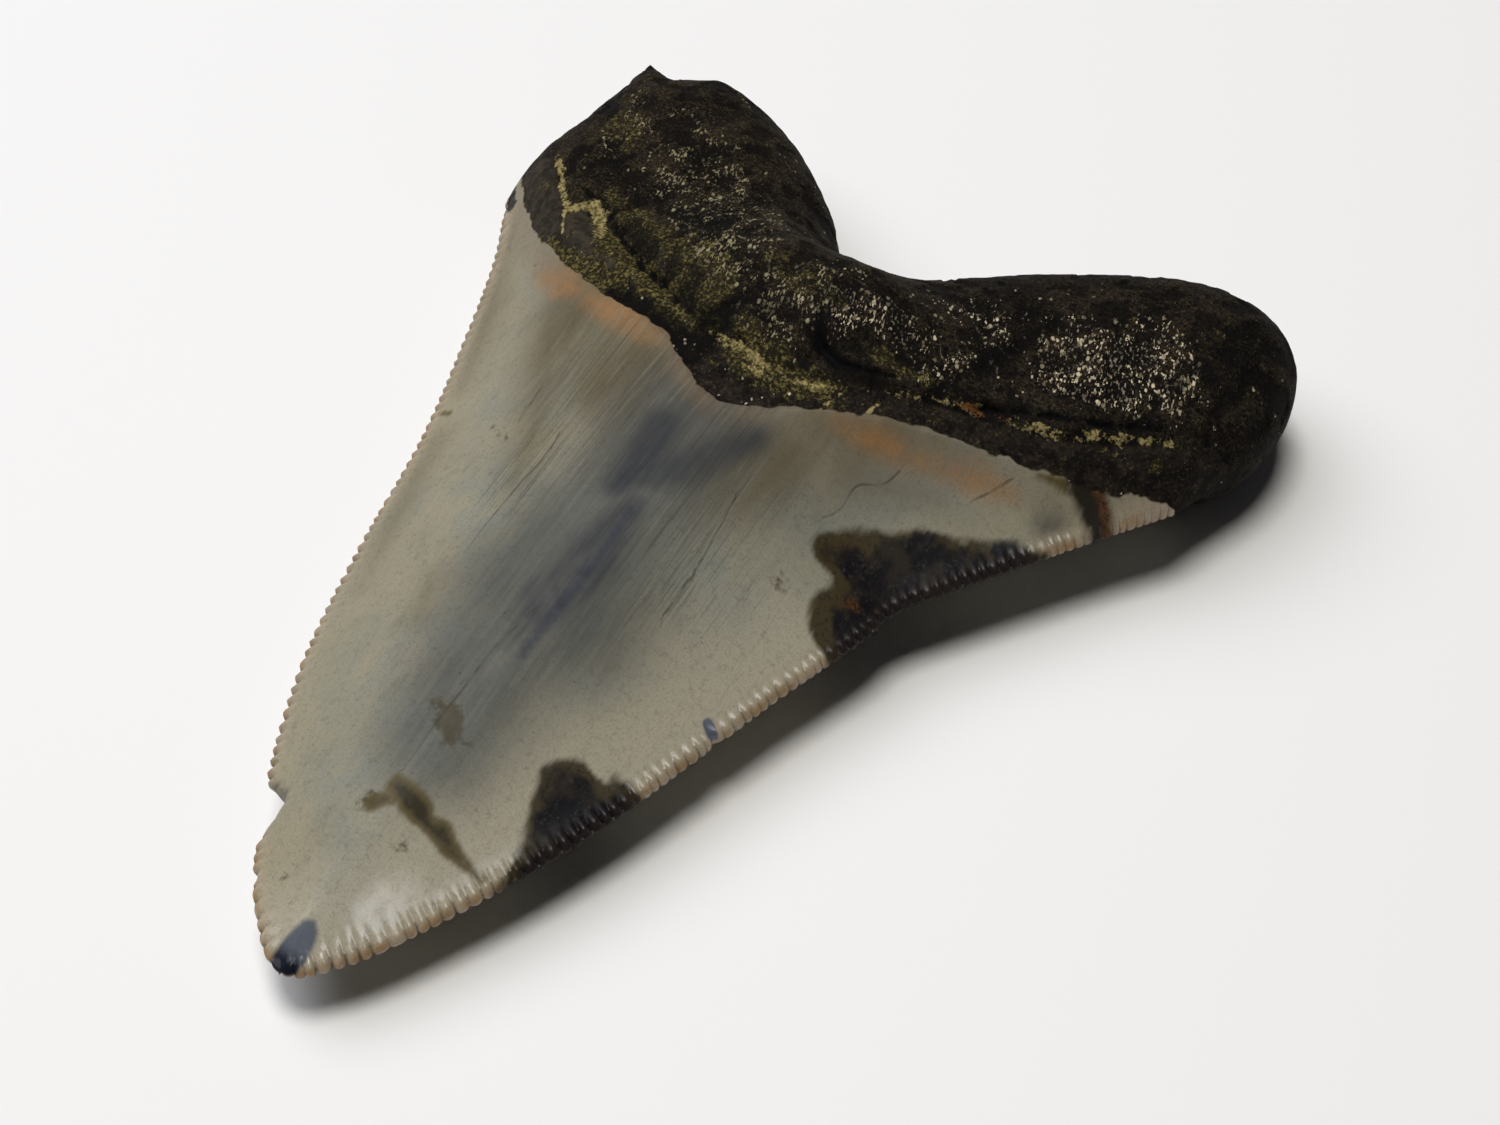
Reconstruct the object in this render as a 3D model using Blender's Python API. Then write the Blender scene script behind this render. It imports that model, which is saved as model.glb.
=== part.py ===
"""Fossil megalodon tooth, lying on its labial face with its lingual face up.

It is one solid. A lingual and a labial surface rise and fall from one rim, which is the two
serrated cutting edges of the crown and the rounded border of the two-lobed root. The faces
are computed, because a loft between such unlike surfaces isn't a primitive or a modifier.

Lengths are in millimetres until the mesh is made, which is in metres. In plan, x runs across
the tooth and y from the tip to the root, with y = 0 on the line between the two shoulders,
where the cutting edges end. z is the height above what the tooth lies on.
"""

import math

import bpy
import numpy as np
from mathutils import Vector, noise
from mathutils.geometry import delaunay_2d_cdt

MM = 0.001
NAME = "tooth"
COLLECTION = "megalodon_tooth"

# The plan, with each edge from its shoulder to the tip. The left edge bulges and the right one
# is hollow, because the crown leans a little to the left.
SHOULDER_WIDTH = 63.0
TIP = (-0.5, -67.1)
LEFT_SHOULDER = (-SHOULDER_WIDTH / 2, 0.0)
RIGHT_SHOULDER = (SHOULDER_WIDTH / 2, 0.0)
LEFT_EDGE = (
    LEFT_SHOULDER,
    (-28.1, -6.4),
    (-24.9, -14.6),
    (-21.4, -24.8),
    (-18.6, -36.5),
    (-15.6, -46.4),
    (-11.6, -54.9),
    (-7.0, -62.1),
    (-3.6, -65.5),
    (-2.1, -66.6),
    TIP,
)
RIGHT_EDGE = (
    RIGHT_SHOULDER,
    (27.2, -6.2),
    (21.5, -14.8),
    (18.6, -19.4),
    (17.9, -22.8),
    (15.5, -30.5),
    (13.4, -38.2),
    (11.0, -46.6),
    (8.0, -54.4),
    (4.2, -62.2),
    (2.2, -65.1),
    (1.0, -66.5),
    TIP,
)
ROOT_OUTLINE = (
    RIGHT_SHOULDER,
    (32.6, 3.8),
    (34.2, 8.8),
    (34.3, 13.8),
    (32.4, 18.4),
    (28.4, 20.9),
    (24.0, 21.0),
    (19.0, 19.2),
    (12.6, 15.4),
    (6.6, 10.9),
    (3.1, 7.5),
    (0.1, 6.3),
    (-3.0, 8.0),
    (-6.8, 12.3),
    (-12.4, 16.8),
    (-17.6, 19.5),
    (-22.2, 20.5),
    (-26.0, 18.6),
)
LEFT_PEAK = (-30.1, 19.5)
BROKEN_SIDE = (LEFT_PEAK, (-30.7, 9.5), (-31.7, 3.0), LEFT_SHOULDER)

# The serrations, and the chips that wear has taken from the edges. A chip has its deepest place,
# measured along the edge from its shoulder, its lengths before and after that, and its depth.
RIGHT_PITCH = (0.68, 1.15)  # at the shoulder and at the tip
LEFT_PITCH = (0.95, 1.1)
SERRATION_DEPTH = (0.24, 0.36)
SERRATION_STEPS = (0.0, 0.22, 0.5, 0.78)  # the points along one serration
SERRATION_WEAR = (0.55, 1.15)  # the least and the most of that depth which is left
SERRATION_ROUNDNESS = 0.6
SERRATION_SEED = 11
LEFT_CHIPS = ((61.5, 2.1, 4.0, 1.8), (67.6, 0.9, 0.7, 0.35), (0.9, 0.6, 0.9, 0.4))
RIGHT_CHIPS = ((40.6, 0.8, 0.9, 0.4),)

# Heights of the rim, and of each surface above or below it, at stations along the tooth.
RIM_HEIGHT = ((-67.2, 4.5), (0.0, 7.0), (25.0, 7.0))
LINGUAL_CREST = (
    (-67.2, 0.5),
    (-62.0, 2.1),
    (-55.0, 4.0),
    (-45.0, 6.0),
    (-35.0, 7.6),
    (-25.0, 8.8),
    (-15.0, 9.8),
    (0.0, 11.5),
    (25.0, 11.5),
)
LABIAL_BULGE = (
    (-67.2, 0.5),
    (-62.0, 1.5),
    (-55.0, 3.1),
    (-45.0, 4.9),
    (-36.0, 6.0),
    (-28.0, 6.2),
    (-18.0, 5.9),
    (-8.0, 6.0),
    (2.0, 6.5),
    (25.0, 6.5),
)
REACH = (
    (-67.2, 2.5),
    (-62.0, 5.2),
    (-50.0, 11.2),
    (-35.0, 15.2),
    (-20.0, 17.5),
    (-8.0, 18.0),
    (25.0, 18.0),
)  # how far in from the rim the crown reaches its full height
EDGE_BLUNT = 0.12  # half the width of the rim's own narrow face
EDGE_THICKNESS = 0.3
EDGE_ROUNDING = 0.3
WING_FLATNESS = 0.35  # how much the crown flattens out towards its cutting edges

ROOT_LOBE_HEIGHT = 6.8
ROOT_CENTRE_HEIGHT = 13.2
ROOT_CENTRE = (0.0, -4.0)
ROOT_CENTRE_SPREAD = (10.0, 9.0, 5.2)  # across, towards the tip and towards the notch
ROOT_REACH = 8.5
ROOT_LABIAL_DEPTH = 7.4
ROOT_HOLLOW = 1.2  # how far the labial face lifts between the lobes
ROOT_HOLLOW_SPREAD = 9.0
ROOT_BLEND = 5.0  # the width of the change from crown to root
LABIAL_ENAMEL_LINE = ((-32.0, 4.0), (-16.0, 4.5), (0.0, 1.0), (16.0, 4.5), (33.5, 4.0))

# The chevron where the enamel ends on the lingual face, and the groove between the smooth band
# above it and the rough root, with its depths at stations across the tooth.
ENAMEL_LINE = (
    (-31.6, 3.4),
    (-30.0, 0.4),
    (-26.0, -3.6),
    (-20.0, -8.0),
    (-13.0, -11.2),
    (-6.0, -13.2),
    (0.4, -16.2),
    (6.0, -13.8),
    (12.0, -10.3),
    (19.0, -7.3),
    (25.0, -4.6),
    (31.0, -0.4),
)
ENAMEL_LEDGE = 0.3
LEDGE_WIDTH = 0.8
GROOVE = (
    (-28.2, 3.0),
    (-26.6, 0.6),
    (-23.0, -2.7),
    (-18.0, -4.0),
    (-12.2, -7.3),
    (-7.0, -10.3),
    (-2.6, -12.2),
    (2.0, -11.9),
    (7.4, -10.8),
    (13.0, -7.8),
    (19.0, -5.3),
    (25.0, -2.1),
    (31.4, 3.8),
)
GROOVE_DEPTH = (
    (-28.0, 0.3),
    (-19.0, 0.8),
    (-3.0, 0.4),
    (10.0, 0.6),
    (19.0, 1.1),
    (26.0, 1.0),
    (31.0, 0.3),
)
GROOVE_WIDTH = 0.9

# The pit where a vessel entered the root, and the shallow valley that runs from it to the notch.
FORAMEN = (5.2, -9.2)
FORAMEN_SIZE = (2.0, 1.1)
FORAMEN_DEPTH = 0.8
VALLEY = ((-2.6, -12.2), (-1.4, -8.0), (0.8, -2.0))
VALLEY_DEPTH = 0.5
VALLEY_WIDTH = 1.7

RELIEF_START = (0.5, 3.0)  # how far in from the rim the root's relief starts and is whole
ROOT_WAVE = 0.3
ROOT_WAVE_LENGTH = 7.0

ENAMEL_COLOUR = (0.3, 0.28, 0.22)
ENAMEL_ROUGHNESS = 0.35
ROOT_COLOUR = (0.03, 0.026, 0.02)
ROOT_ROUGHNESS = 0.55

# The mesh.
CURVE_STEP = 0.25
ROOT_RIM_STEP = 1.1
RING_STEP = 1.3
RINGS = (0.35, 1.0, 2.1)
LINGUAL_SPACING = 2.3
LABIAL_SPACING = 3.0
LINE_STEP = 1.5
ENAMEL_ROWS = (-0.5, 0.5)
GROOVE_ROWS = (-1.2, 0.0, 1.2)
LEAST_GAP = 0.45
RIM_CLEARANCE = 0.2
CORNER_CLEARANCE = 0.9  # as a share of a ring's own distance from the rim
LINE_CLEARANCE = 0.8
SPREAD_CLEARANCE = 0.6  # as a share of the spacing


def smooth_curve(points, step=CURVE_STEP):
    """A Catmull-Rom curve through the points, as points about a step apart."""
    knots = np.array(points, float)
    first = 2 * knots[0] - knots[1]
    last = 2 * knots[-1] - knots[-2]
    knots = np.vstack([first, knots, last])
    pieces = []
    for a, b, c, d in zip(knots, knots[1:], knots[2:], knots[3:]):
        count = max(2, math.ceil(np.linalg.norm(c - b) / step))
        t = (np.arange(count) / count)[:, None]
        curve = 2 * b + (c - a) * t + (2 * a - 5 * b + 4 * c - d) * t**2
        pieces.append((curve + (3 * b - a - 3 * c + d) * t**3) / 2)
    pieces.append(knots[-2:-1])
    return np.vstack(pieces)


def arc_lengths(line):
    """How far along the line each of its points is."""
    return np.concatenate([[0], np.cumsum(np.linalg.norm(np.diff(line, axis=0), axis=1))])


def walk(line, lengths):
    """The points of a line at these lengths along it."""
    along = arc_lengths(line)
    return np.stack([np.interp(lengths, along, line[:, i]) for i in (0, 1)], axis=1)


def normals(line):
    """The unit normals on a line's right-hand side."""
    run = np.gradient(line, axis=0)
    run /= np.linalg.norm(run, axis=1)[:, None]
    return np.stack([run[:, 1], -run[:, 0]], axis=1)


def nearest(points, line):
    """Each point's distance to a line, and on which side of it it lies, +1 on the right."""
    start, run = line[:-1], np.diff(line, axis=0)
    gap = points[:, None] - start
    t = np.clip((gap * run).sum(2) / (run**2).sum(1), 0, 1)
    away = gap - t[..., None] * run
    square = (away**2).sum(2)
    index = square.argmin(1)
    rows = np.arange(len(points))
    cross = run[index, 1] * gap[rows, index, 0] - run[index, 0] * gap[rows, index, 1]
    return np.sqrt(square[rows, index]), np.sign(cross)


def station(table, where):
    """The smooth curve through a table of (place, value), read at these places."""
    curve = smooth_curve(table)
    return np.interp(where, curve[:, 0], curve[:, 1])


def smoothstep(low, high, value):
    t = np.clip((value - low) / (high - low), 0, 1)
    return t * t * (3 - 2 * t)


def gauss(value, width):
    return np.exp(-((value / width) ** 2))


def chip_depth(along, chips):
    """How deep the chips cut an edge at each length along it."""
    depth = np.zeros_like(along)
    for place, before, after, deep in chips:
        away = np.where(along < place, (place - along) / before, (along - place) / after)
        depth = np.maximum(depth, deep * (1 - smoothstep(0, 1, away)))
    return depth


def serrated(line, pitch, chips, inward, rng):
    """A cutting edge with its serrations and chips. Inward is -1 where that is the left side."""
    total = arc_lengths(line)[-1]
    count = round(2 * total / sum(pitch))
    ends = np.cumsum(np.linspace(pitch[0], pitch[1], count))
    ends = np.concatenate([[0], ends * total / ends[-1]])
    wear = rng.uniform(*SERRATION_WEAR, count)
    phases = np.array(SERRATION_STEPS)
    along = (ends[:-1, None] + phases * np.diff(ends)[:, None]).ravel()
    bump = np.sin(math.pi * np.tile(phases, count)) ** SERRATION_ROUNDNESS
    deep = np.interp(along, (0, total), SERRATION_DEPTH) * np.repeat(wear, len(phases))
    broken = chip_depth(along, chips)
    cut = deep * (1 - bump) * (1 - np.minimum(broken, 1)) + broken
    side = np.stack([np.interp(along, arc_lengths(line), n) for n in normals(line).T], 1)
    return walk(line, along) + inward * cut[:, None] * side


def edges():
    """The two cutting edges as smooth lines, each from its shoulder to the tip."""
    return smooth_curve(LEFT_EDGE), smooth_curve(RIGHT_EDGE)


def root_line():
    """The border of the root, from the right shoulder round both lobes to the left one."""
    lobes = smooth_curve(ROOT_OUTLINE + (LEFT_PEAK,))
    return np.vstack([lobes[:-1], smooth_curve(BROKEN_SIDE)])


def base_outline():
    """The closed plan without serrations or chips, anticlockwise from the right shoulder."""
    left, right = edges()
    return np.vstack([root_line(), left[1:], right[::-1][1:]])


def rim_outline():
    """The true closed rim, anticlockwise from the right shoulder."""
    left, right = edges()
    rng = np.random.default_rng(SERRATION_SEED)
    teeth = serrated(right, RIGHT_PITCH, RIGHT_CHIPS, 1, rng)
    other_teeth = serrated(left, LEFT_PITCH, LEFT_CHIPS, -1, rng)
    root = root_line()
    count = round(arc_lengths(root)[-1] / ROOT_RIM_STEP)
    root = walk(root, np.linspace(0, arc_lengths(root)[-1], count + 1))[1:-1]
    return np.vstack([root, other_teeth, [TIP], teeth[::-1]])


class Plan:
    """The lines of the tooth, and how far points are from them."""

    def __init__(self):
        self.base = base_outline()
        self.rim = rim_outline()
        self.closed_rim = np.vstack([self.rim, self.rim[:1]])
        self.enamel = smooth_curve(ENAMEL_LINE)
        self.labial_enamel = smooth_curve(LABIAL_ENAMEL_LINE)
        self.groove = smooth_curve(GROOVE)
        self.valley = smooth_curve(VALLEY)

    def measure(self, points):
        found = {"x": points[:, 0], "y": points[:, 1]}
        found["base"] = nearest(points, self.base)[0]
        found["rim"] = nearest(points, self.closed_rim)[0]
        away, side = nearest(points, self.enamel)
        found["above"] = -away * side  # in the root it is positive
        away, side = nearest(points, self.labial_enamel)
        found["labial_above"] = -away * side
        found["groove"] = nearest(points, self.groove)[0]
        found["valley"] = nearest(points, self.valley)[0]
        return found


def crown_rise(m, bulge, flatness):
    """A surface that swells from a sharp edge to its full height."""
    t = np.clip(m["base"] / station(REACH, m["y"]), 0, 1)
    swell = t * (2 - t)
    wing = t * t * (3 - 2 * t)
    return station(bulge, m["y"]) * (swell + flatness * (wing - swell))


def root_round(m):
    """The rounding of the root's border, from 0 at the rim to 1."""
    t = np.clip(m["base"] / ROOT_REACH, 0, 1)
    return np.sqrt(1 - (1 - t) ** 2)


def closing(m):
    """The rounding of the very edge, from 0 at the rim to 1."""
    t = np.clip(m["rim"] / EDGE_ROUNDING, 0, 1)
    return np.sqrt(1 - (1 - t) ** 2)


def root_share(above):
    return smoothstep(-ROOT_BLEND / 2, ROOT_BLEND / 2, above)


def root_wave(m):
    """The slow waves of the root's worn surface."""
    spots = np.stack([m["x"], m["y"]], 1) / ROOT_WAVE_LENGTH
    waves = [noise.noise(Vector((spot[0], spot[1], 0.0))) for spot in spots]
    return ROOT_WAVE * np.array(waves)


def root_relief(m):
    """The waves and hollows of the root's upper surface."""
    groove = station(GROOVE_DEPTH, m["x"]) * gauss(m["groove"], GROOVE_WIDTH)
    across = (m["x"] - FORAMEN[0]) / FORAMEN_SIZE[0]
    along = (m["y"] - FORAMEN[1]) / FORAMEN_SIZE[1]
    foramen = FORAMEN_DEPTH * np.exp(-(across**2) - along**2)
    valley = VALLEY_DEPTH * gauss(m["valley"], VALLEY_WIDTH)
    ledge = ENAMEL_LEDGE * gauss(m["above"] - LEDGE_WIDTH, LEDGE_WIDTH)
    return root_wave(m) - groove - foramen - valley - ledge


def lingual(m):
    """The height of the upper surface."""
    share = root_share(m["above"])
    crown = closing(m) * (EDGE_THICKNESS / 2 + crown_rise(m, LINGUAL_CREST, WING_FLATNESS))
    across = (m["x"] - ROOT_CENTRE[0]) / ROOT_CENTRE_SPREAD[0]
    along = m["y"] - ROOT_CENTRE[1]
    along /= np.where(along < 0, ROOT_CENTRE_SPREAD[1], ROOT_CENTRE_SPREAD[2])
    centre = (ROOT_CENTRE_HEIGHT - ROOT_LOBE_HEIGHT) * np.exp(-(across**2 + along**2) / 2)
    root = (ROOT_LOBE_HEIGHT + centre) * root_round(m)
    inner = smoothstep(*RELIEF_START, m["base"])
    body = crown + share * (root - crown) + share * inner * root_relief(m)
    return station(RIM_HEIGHT, m["y"]) + EDGE_BLUNT + body


def labial(m):
    """The height of the lower surface, cut flat where the tooth rests."""
    share = root_share(m["labial_above"])
    crown = closing(m) * (EDGE_THICKNESS / 2 + crown_rise(m, LABIAL_BULGE, 0))
    hollow = ROOT_HOLLOW * gauss(m["x"], ROOT_HOLLOW_SPREAD)
    root = (ROOT_LABIAL_DEPTH - hollow) * root_round(m)
    body = crown + share * (root - crown)
    return np.maximum(station(RIM_HEIGHT, m["y"]) - EDGE_BLUNT - body, 0)


def hexagonal(low, high, spacing):
    """Points in staggered rows over a box."""
    rows = np.arange(low[1], high[1], spacing * math.sqrt(3) / 2)
    columns = np.arange(low[0], high[0], spacing)
    shift = spacing / 2 * (np.arange(len(rows)) % 2)
    x = (columns[None] + shift[:, None]).ravel()
    return np.stack([x, np.repeat(rows, len(columns))], 1)


def inside(points, loop):
    """Whether each point is inside a closed loop."""
    x, y = points[:, :1], points[:, 1:]
    ends = np.roll(loop, -1, axis=0)
    spans = (loop[:, 1] > y) != (ends[:, 1] > y)
    with np.errstate(divide="ignore", invalid="ignore"):
        crossing = loop[:, 0] + (y - loop[:, 1]) / (ends[:, 1] - loop[:, 1]) * (ends[:, 0] - loop[:, 0])
    return (spans & (x < crossing)).sum(1) % 2 == 1


def thinned(points, spacing):
    """The points with those dropped that lie nearer than the spacing to an earlier one."""
    kept = []
    for point in points:
        if not kept or ((np.array(kept) - point) ** 2).sum(1).min() > spacing**2:
            kept.append(point)
    return np.array(kept)


def inner_points(plan, spacing, lines):
    """Points inside the rim: rings along it, rows along the lines, then an even spread."""
    base = plan.base
    side = normals(base)
    chosen = []
    spots = np.arange(0, arc_lengths(base)[-1], RING_STEP)
    for ring in RINGS:
        found = walk(base - ring * side, spots)
        found = found[inside(found, plan.rim)]
        found = found[nearest(found, plan.closed_rim)[0] > RIM_CLEARANCE]
        chosen.append(found[nearest(found, base)[0] > CORNER_CLEARANCE * ring])
    for line, rows in lines:
        steps = round(arc_lengths(line)[-1] / LINE_STEP)
        for row in rows:
            found = walk(line + row * normals(line), np.linspace(0, arc_lengths(line)[-1], steps))
            found = found[inside(found, plan.rim)]
            chosen.append(found[nearest(found, base)[0] > RINGS[-1] + LINE_CLEARANCE])
    clearance = SPREAD_CLEARANCE * spacing
    spread = hexagonal(base.min(0), base.max(0), spacing)
    spread = spread[inside(spread, plan.rim)]
    spread = spread[nearest(spread, base)[0] > RINGS[-1] + clearance]
    ready = thinned(np.vstack(chosen), LEAST_GAP)
    gap = ((spread[:, None] - ready) ** 2).sum(2).min(1)
    return np.vstack([ready, spread[gap > clearance**2]])


def triangles(rim, points):
    """The rim's inside, as triangles on its points and these, all facing up."""
    corners = [Vector(point) for point in np.vstack([rim, points])]
    border = [(i, (i + 1) % len(rim)) for i in range(len(rim))]
    found = delaunay_2d_cdt(corners, border, [], 1, 1e-6)
    assert len(found[0]) == len(corners)
    return [tuple(face) for face in found[2]]


def tooth_mesh():
    """The two surfaces and the narrow band between their rims, centred over the origin."""
    plan = Plan()
    rim = plan.rim
    lines = ((plan.enamel, ENAMEL_ROWS), (plan.groove, GROOVE_ROWS))
    upper = inner_points(plan, LINGUAL_SPACING, lines)
    lower = inner_points(plan, LABIAL_SPACING, ())
    upper_faces = triangles(rim, upper)
    lower_faces = triangles(rim, lower)

    upper = np.vstack([rim, upper])
    lower = np.vstack([rim, lower])
    points = np.vstack(
        [
            np.column_stack([upper, lingual(plan.measure(upper))]),
            np.column_stack([lower, labial(plan.measure(lower))]),
        ]
    )
    skip = len(upper)
    faces = list(upper_faces)
    faces += [tuple(i + skip for i in reversed(face)) for face in lower_faces]
    for i in range(len(rim)):
        j = (i + 1) % len(rim)
        faces.append((i, i + skip, j + skip, j))
    enamel = enamel_faces(plan, points, faces, len(upper_faces))
    middle = (points.min(0) + points.max(0)) / 2
    points -= (middle[0], middle[1], 0)

    mesh = bpy.data.meshes.new(NAME)
    mesh.from_pydata((points * MM).tolist(), [], faces)
    mesh.materials.append(fossil_material("root", ROOT_COLOUR, ROOT_ROUGHNESS))
    mesh.materials.append(fossil_material("enamel", ENAMEL_COLOUR, ENAMEL_ROUGHNESS))
    mesh.polygons.foreach_set("material_index", enamel.astype(np.int32))
    mesh.shade_smooth()
    mesh.update()
    return mesh


def enamel_faces(plan, points, faces, upper_count):
    """Whether each face is enamel: it lies on the tip's side of its own surface's line."""
    middles = np.array([points[list(face), :2].mean(0) for face in faces])
    m = plan.measure(middles)
    is_upper = np.arange(len(faces)) < upper_count
    return np.where(is_upper, m["above"], m["labial_above"]) < 0


def fossil_material(name, colour, roughness):
    material = bpy.data.materials.new(name)
    material.use_nodes = True
    shader = material.node_tree.nodes["Principled BSDF"]
    shader.inputs["Base Color"].default_value = (*colour, 1)
    shader.inputs["Roughness"].default_value = roughness
    shader.inputs["Metallic"].default_value = 0.0
    return material


def main():
    for old in list(bpy.data.objects):
        bpy.data.objects.remove(old)
    collection = bpy.data.collections.new(COLLECTION)
    bpy.context.scene.collection.children.link(collection)
    tooth = bpy.data.objects.new(NAME, tooth_mesh())
    collection.objects.link(tooth)


if __name__ == "__main__":
    main()
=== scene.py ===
import math

import bpy
import numpy as np
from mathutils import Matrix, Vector, noise
from mathutils.geometry import delaunay_2d_cdt
from mathutils.kdtree import KDTree


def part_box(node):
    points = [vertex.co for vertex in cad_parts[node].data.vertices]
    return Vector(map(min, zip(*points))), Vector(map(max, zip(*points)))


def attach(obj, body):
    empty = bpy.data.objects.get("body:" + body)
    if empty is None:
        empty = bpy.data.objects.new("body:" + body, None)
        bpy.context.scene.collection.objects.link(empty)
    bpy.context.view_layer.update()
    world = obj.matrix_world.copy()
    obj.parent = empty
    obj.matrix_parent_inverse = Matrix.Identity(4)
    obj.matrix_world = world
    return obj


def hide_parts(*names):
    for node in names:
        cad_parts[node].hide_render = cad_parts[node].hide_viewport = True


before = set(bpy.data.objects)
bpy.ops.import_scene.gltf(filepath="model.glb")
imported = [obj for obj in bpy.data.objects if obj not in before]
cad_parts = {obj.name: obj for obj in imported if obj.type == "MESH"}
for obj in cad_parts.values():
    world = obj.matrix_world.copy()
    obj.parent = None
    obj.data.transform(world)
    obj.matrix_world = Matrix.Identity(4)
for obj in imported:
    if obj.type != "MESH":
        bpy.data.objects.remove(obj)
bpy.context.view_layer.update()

# The looks of the fossil megalodon tooth. One mesh stands for the CAD node: the same form, fine
# enough for its serrations, pits, cracks and crusts, with a material that follows the markings.
#
# Lengths are in millimetres until the mesh is made. In plan, x runs across the tooth and y from
# the tip to the root, with y = 0 on the line between the shoulders. z is the height.

MM = 0.001
NODE = "tooth"

# The plan.
SHOULDER_WIDTH = 63.0
TIP = (-0.5, -67.1)
LEFT_SHOULDER = (-SHOULDER_WIDTH / 2, 0)
RIGHT_SHOULDER = (SHOULDER_WIDTH / 2, 0)
LEFT_EDGE = (
    LEFT_SHOULDER, (-28.1, -6.4), (-24.9, -14.6), (-21.4, -24.8), (-18.6, -36.5), (-15.6, -46.4),
    (-11.6, -54.9), (-7, -62.1), (-3.6, -65.5), (-2.1, -66.6), TIP,
)
RIGHT_EDGE = (
    RIGHT_SHOULDER, (27.2, -6.2), (21.5, -14.8), (18.6, -19.4), (17.9, -22.8), (15.5, -30.5),
    (13.4, -38.2), (11, -46.6), (8, -54.4), (4.2, -62.2), (2.2, -65.1), (1, -66.5), TIP,
)
ROOT_OUTLINE = (
    RIGHT_SHOULDER, (32.6, 3.8), (34.2, 8.8), (34.3, 13.8), (32.4, 18.4), (28.4, 20.9), (24, 21),
    (19, 19.2), (12.6, 15.4), (6.6, 10.9), (3.1, 7.5), (0.1, 6.3), (-3, 8), (-6.8, 12.3),
    (-12.4, 16.8), (-17.6, 19.5), (-22.2, 20.5), (-26, 18.6),
)
LEFT_PEAK = (-30.1, 19.5)
BROKEN_SIDE = (LEFT_PEAK, (-30.7, 9.5), (-31.7, 3), LEFT_SHOULDER)

# The serrations and chips of each side. The pitch is given at the shoulder and at the tip. The
# cuts are the depths' share, and the flutes how far a gap runs in, both by the length along the
# edge. A chip has its deepest place along the edge, its lengths before and after that, and its
# depth.
RIGHT_SIDE = {
    "pitch": (0.68, 1),
    "roundness": 0.6,
    "cuts": ((0, 1), (80, 1)),
    "flutes": ((0, 0.7), (28, 0.6), (50, 0.8), (62, 1.2), (76, 1.4)),
    "chips": ((40.6, 0.8, 0.9, 0.4),),
}
LEFT_SIDE = {
    "pitch": (0.95, 1.1),
    "roundness": 1.1,
    "cuts": ((0, 1.5), (54, 1.5), (62, 0.7), (80, 0.4)),
    "flutes": ((0, 0.6), (40, 0.75), (58, 0.7), (66, 0.45), (76, 0.4)),
    "chips": ((61.5, 2.1, 4, 1.8), (67.6, 0.9, 0.7, 0.35), (0.9, 0.6, 0.9, 0.4)),
}
SERRATION_DEPTH = (0.24, 0.36)  # at the shoulder and at the tip
SERRATION_STEPS = (0, 0.07, 0.16, 0.3, 0.5, 0.7, 0.84, 0.93)
SERRATION_WEAR = (0.45, 1.2)  # each one's height, as a share
SERRATION_UNEVEN = (0.78, 1.22)  # each one's length, as a share of the pitch
SERRATION_SEED = 11
FLUTE_DEPTH = (0.2, 0.36)  # at the shoulder and at the tip
BEAD_HEIGHT = 0.15  # how far a serration stands above the face, for a pitch of 1 mm
BEAD_PLACE = 0.6
BEAD_WIDTH = 0.42
BEAD_CHIP = 0.4  # a chip this deep takes the serration's bead away
FLUTE_SHARE = 0.6  # of the crown's height, the most that a gap cuts away

# The heights.
RIM_HEIGHT = ((-67.2, 4.5), (0, 7), (25, 7))
LINGUAL_CREST = (
    (-67.2, 0.5), (-62, 2.1), (-55, 4), (-45, 6), (-35, 7.6), (-25, 8.8), (-15, 9.8), (0, 11.5),
    (25, 11.5),
)
LABIAL_BULGE = (
    (-67.2, 0.5), (-62, 1.5), (-55, 3.1), (-45, 4.9), (-36, 6), (-28, 6.2), (-18, 5.9), (-8, 6),
    (2, 6.5), (25, 6.5),
)
REACH = ((-67.2, 2.5), (-62, 5.2), (-50, 11.2), (-35, 15.2), (-20, 17.5), (-8, 18), (25, 18))
EDGE_BLUNT = 0.12
EDGE_THICKNESS = 0.3
EDGE_ROUNDING = 0.3
WING_FLATNESS = 0.35
ROOT_LOBE_HEIGHT = 6.8
ROOT_CENTRE_HEIGHT = 13.2
ROOT_CENTRE = (0, -4)
ROOT_CENTRE_SPREAD = (10, 9, 5.2)
ROOT_REACH = 8.5
ROOT_LABIAL_DEPTH = 7.4
ROOT_HOLLOW = 1.2
ROOT_HOLLOW_SPREAD = 9.0
ROOT_BLEND = 5.0

# The lines on the faces.
LABIAL_ENAMEL_LINE = ((-32, 4), (-16, 4.5), (0, 1), (16, 4.5), (33.5, 4))
LABIAL_LINE_START = 2.0  # nearer the rim, the lower face takes on the upper one's line
ENAMEL_LINE = (
    (-31.6, 3.4), (-30, 0.4), (-26, -3.6), (-20, -8), (-13, -11.2), (-6, -13.2), (0.4, -16.2),
    (6, -13.8), (12, -10.3), (19, -7.3), (25, -4.6), (31, -0.4),
)
ENAMEL_LEDGE = 0.3
LEDGE_WIDTH = 0.8
ENAMEL_STEP = 0.09  # the height of the enamel's own edge
ENAMEL_STEP_WIDTH = 0.12
STEP_START = (0.3, 2)  # the step fades in over these distances from the rim
GROOVE = (
    (-28.2, 3), (-26.6, 0.6), (-23, -2.7), (-18, -4), (-12.2, -7.3), (-7, -10.3), (-2.6, -12.2),
    (2, -11.9), (7.4, -10.8), (13, -7.8), (19, -5.3), (25, -2.1), (31.4, 3.8),
)
GROOVE_DEPTH = ((-28, 0.3), (-19, 0.8), (-3, 0.4), (10, 0.6), (19, 0.9), (26, 0.7), (31, 0.3))
GROOVE_WIDTH = 0.9
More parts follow.
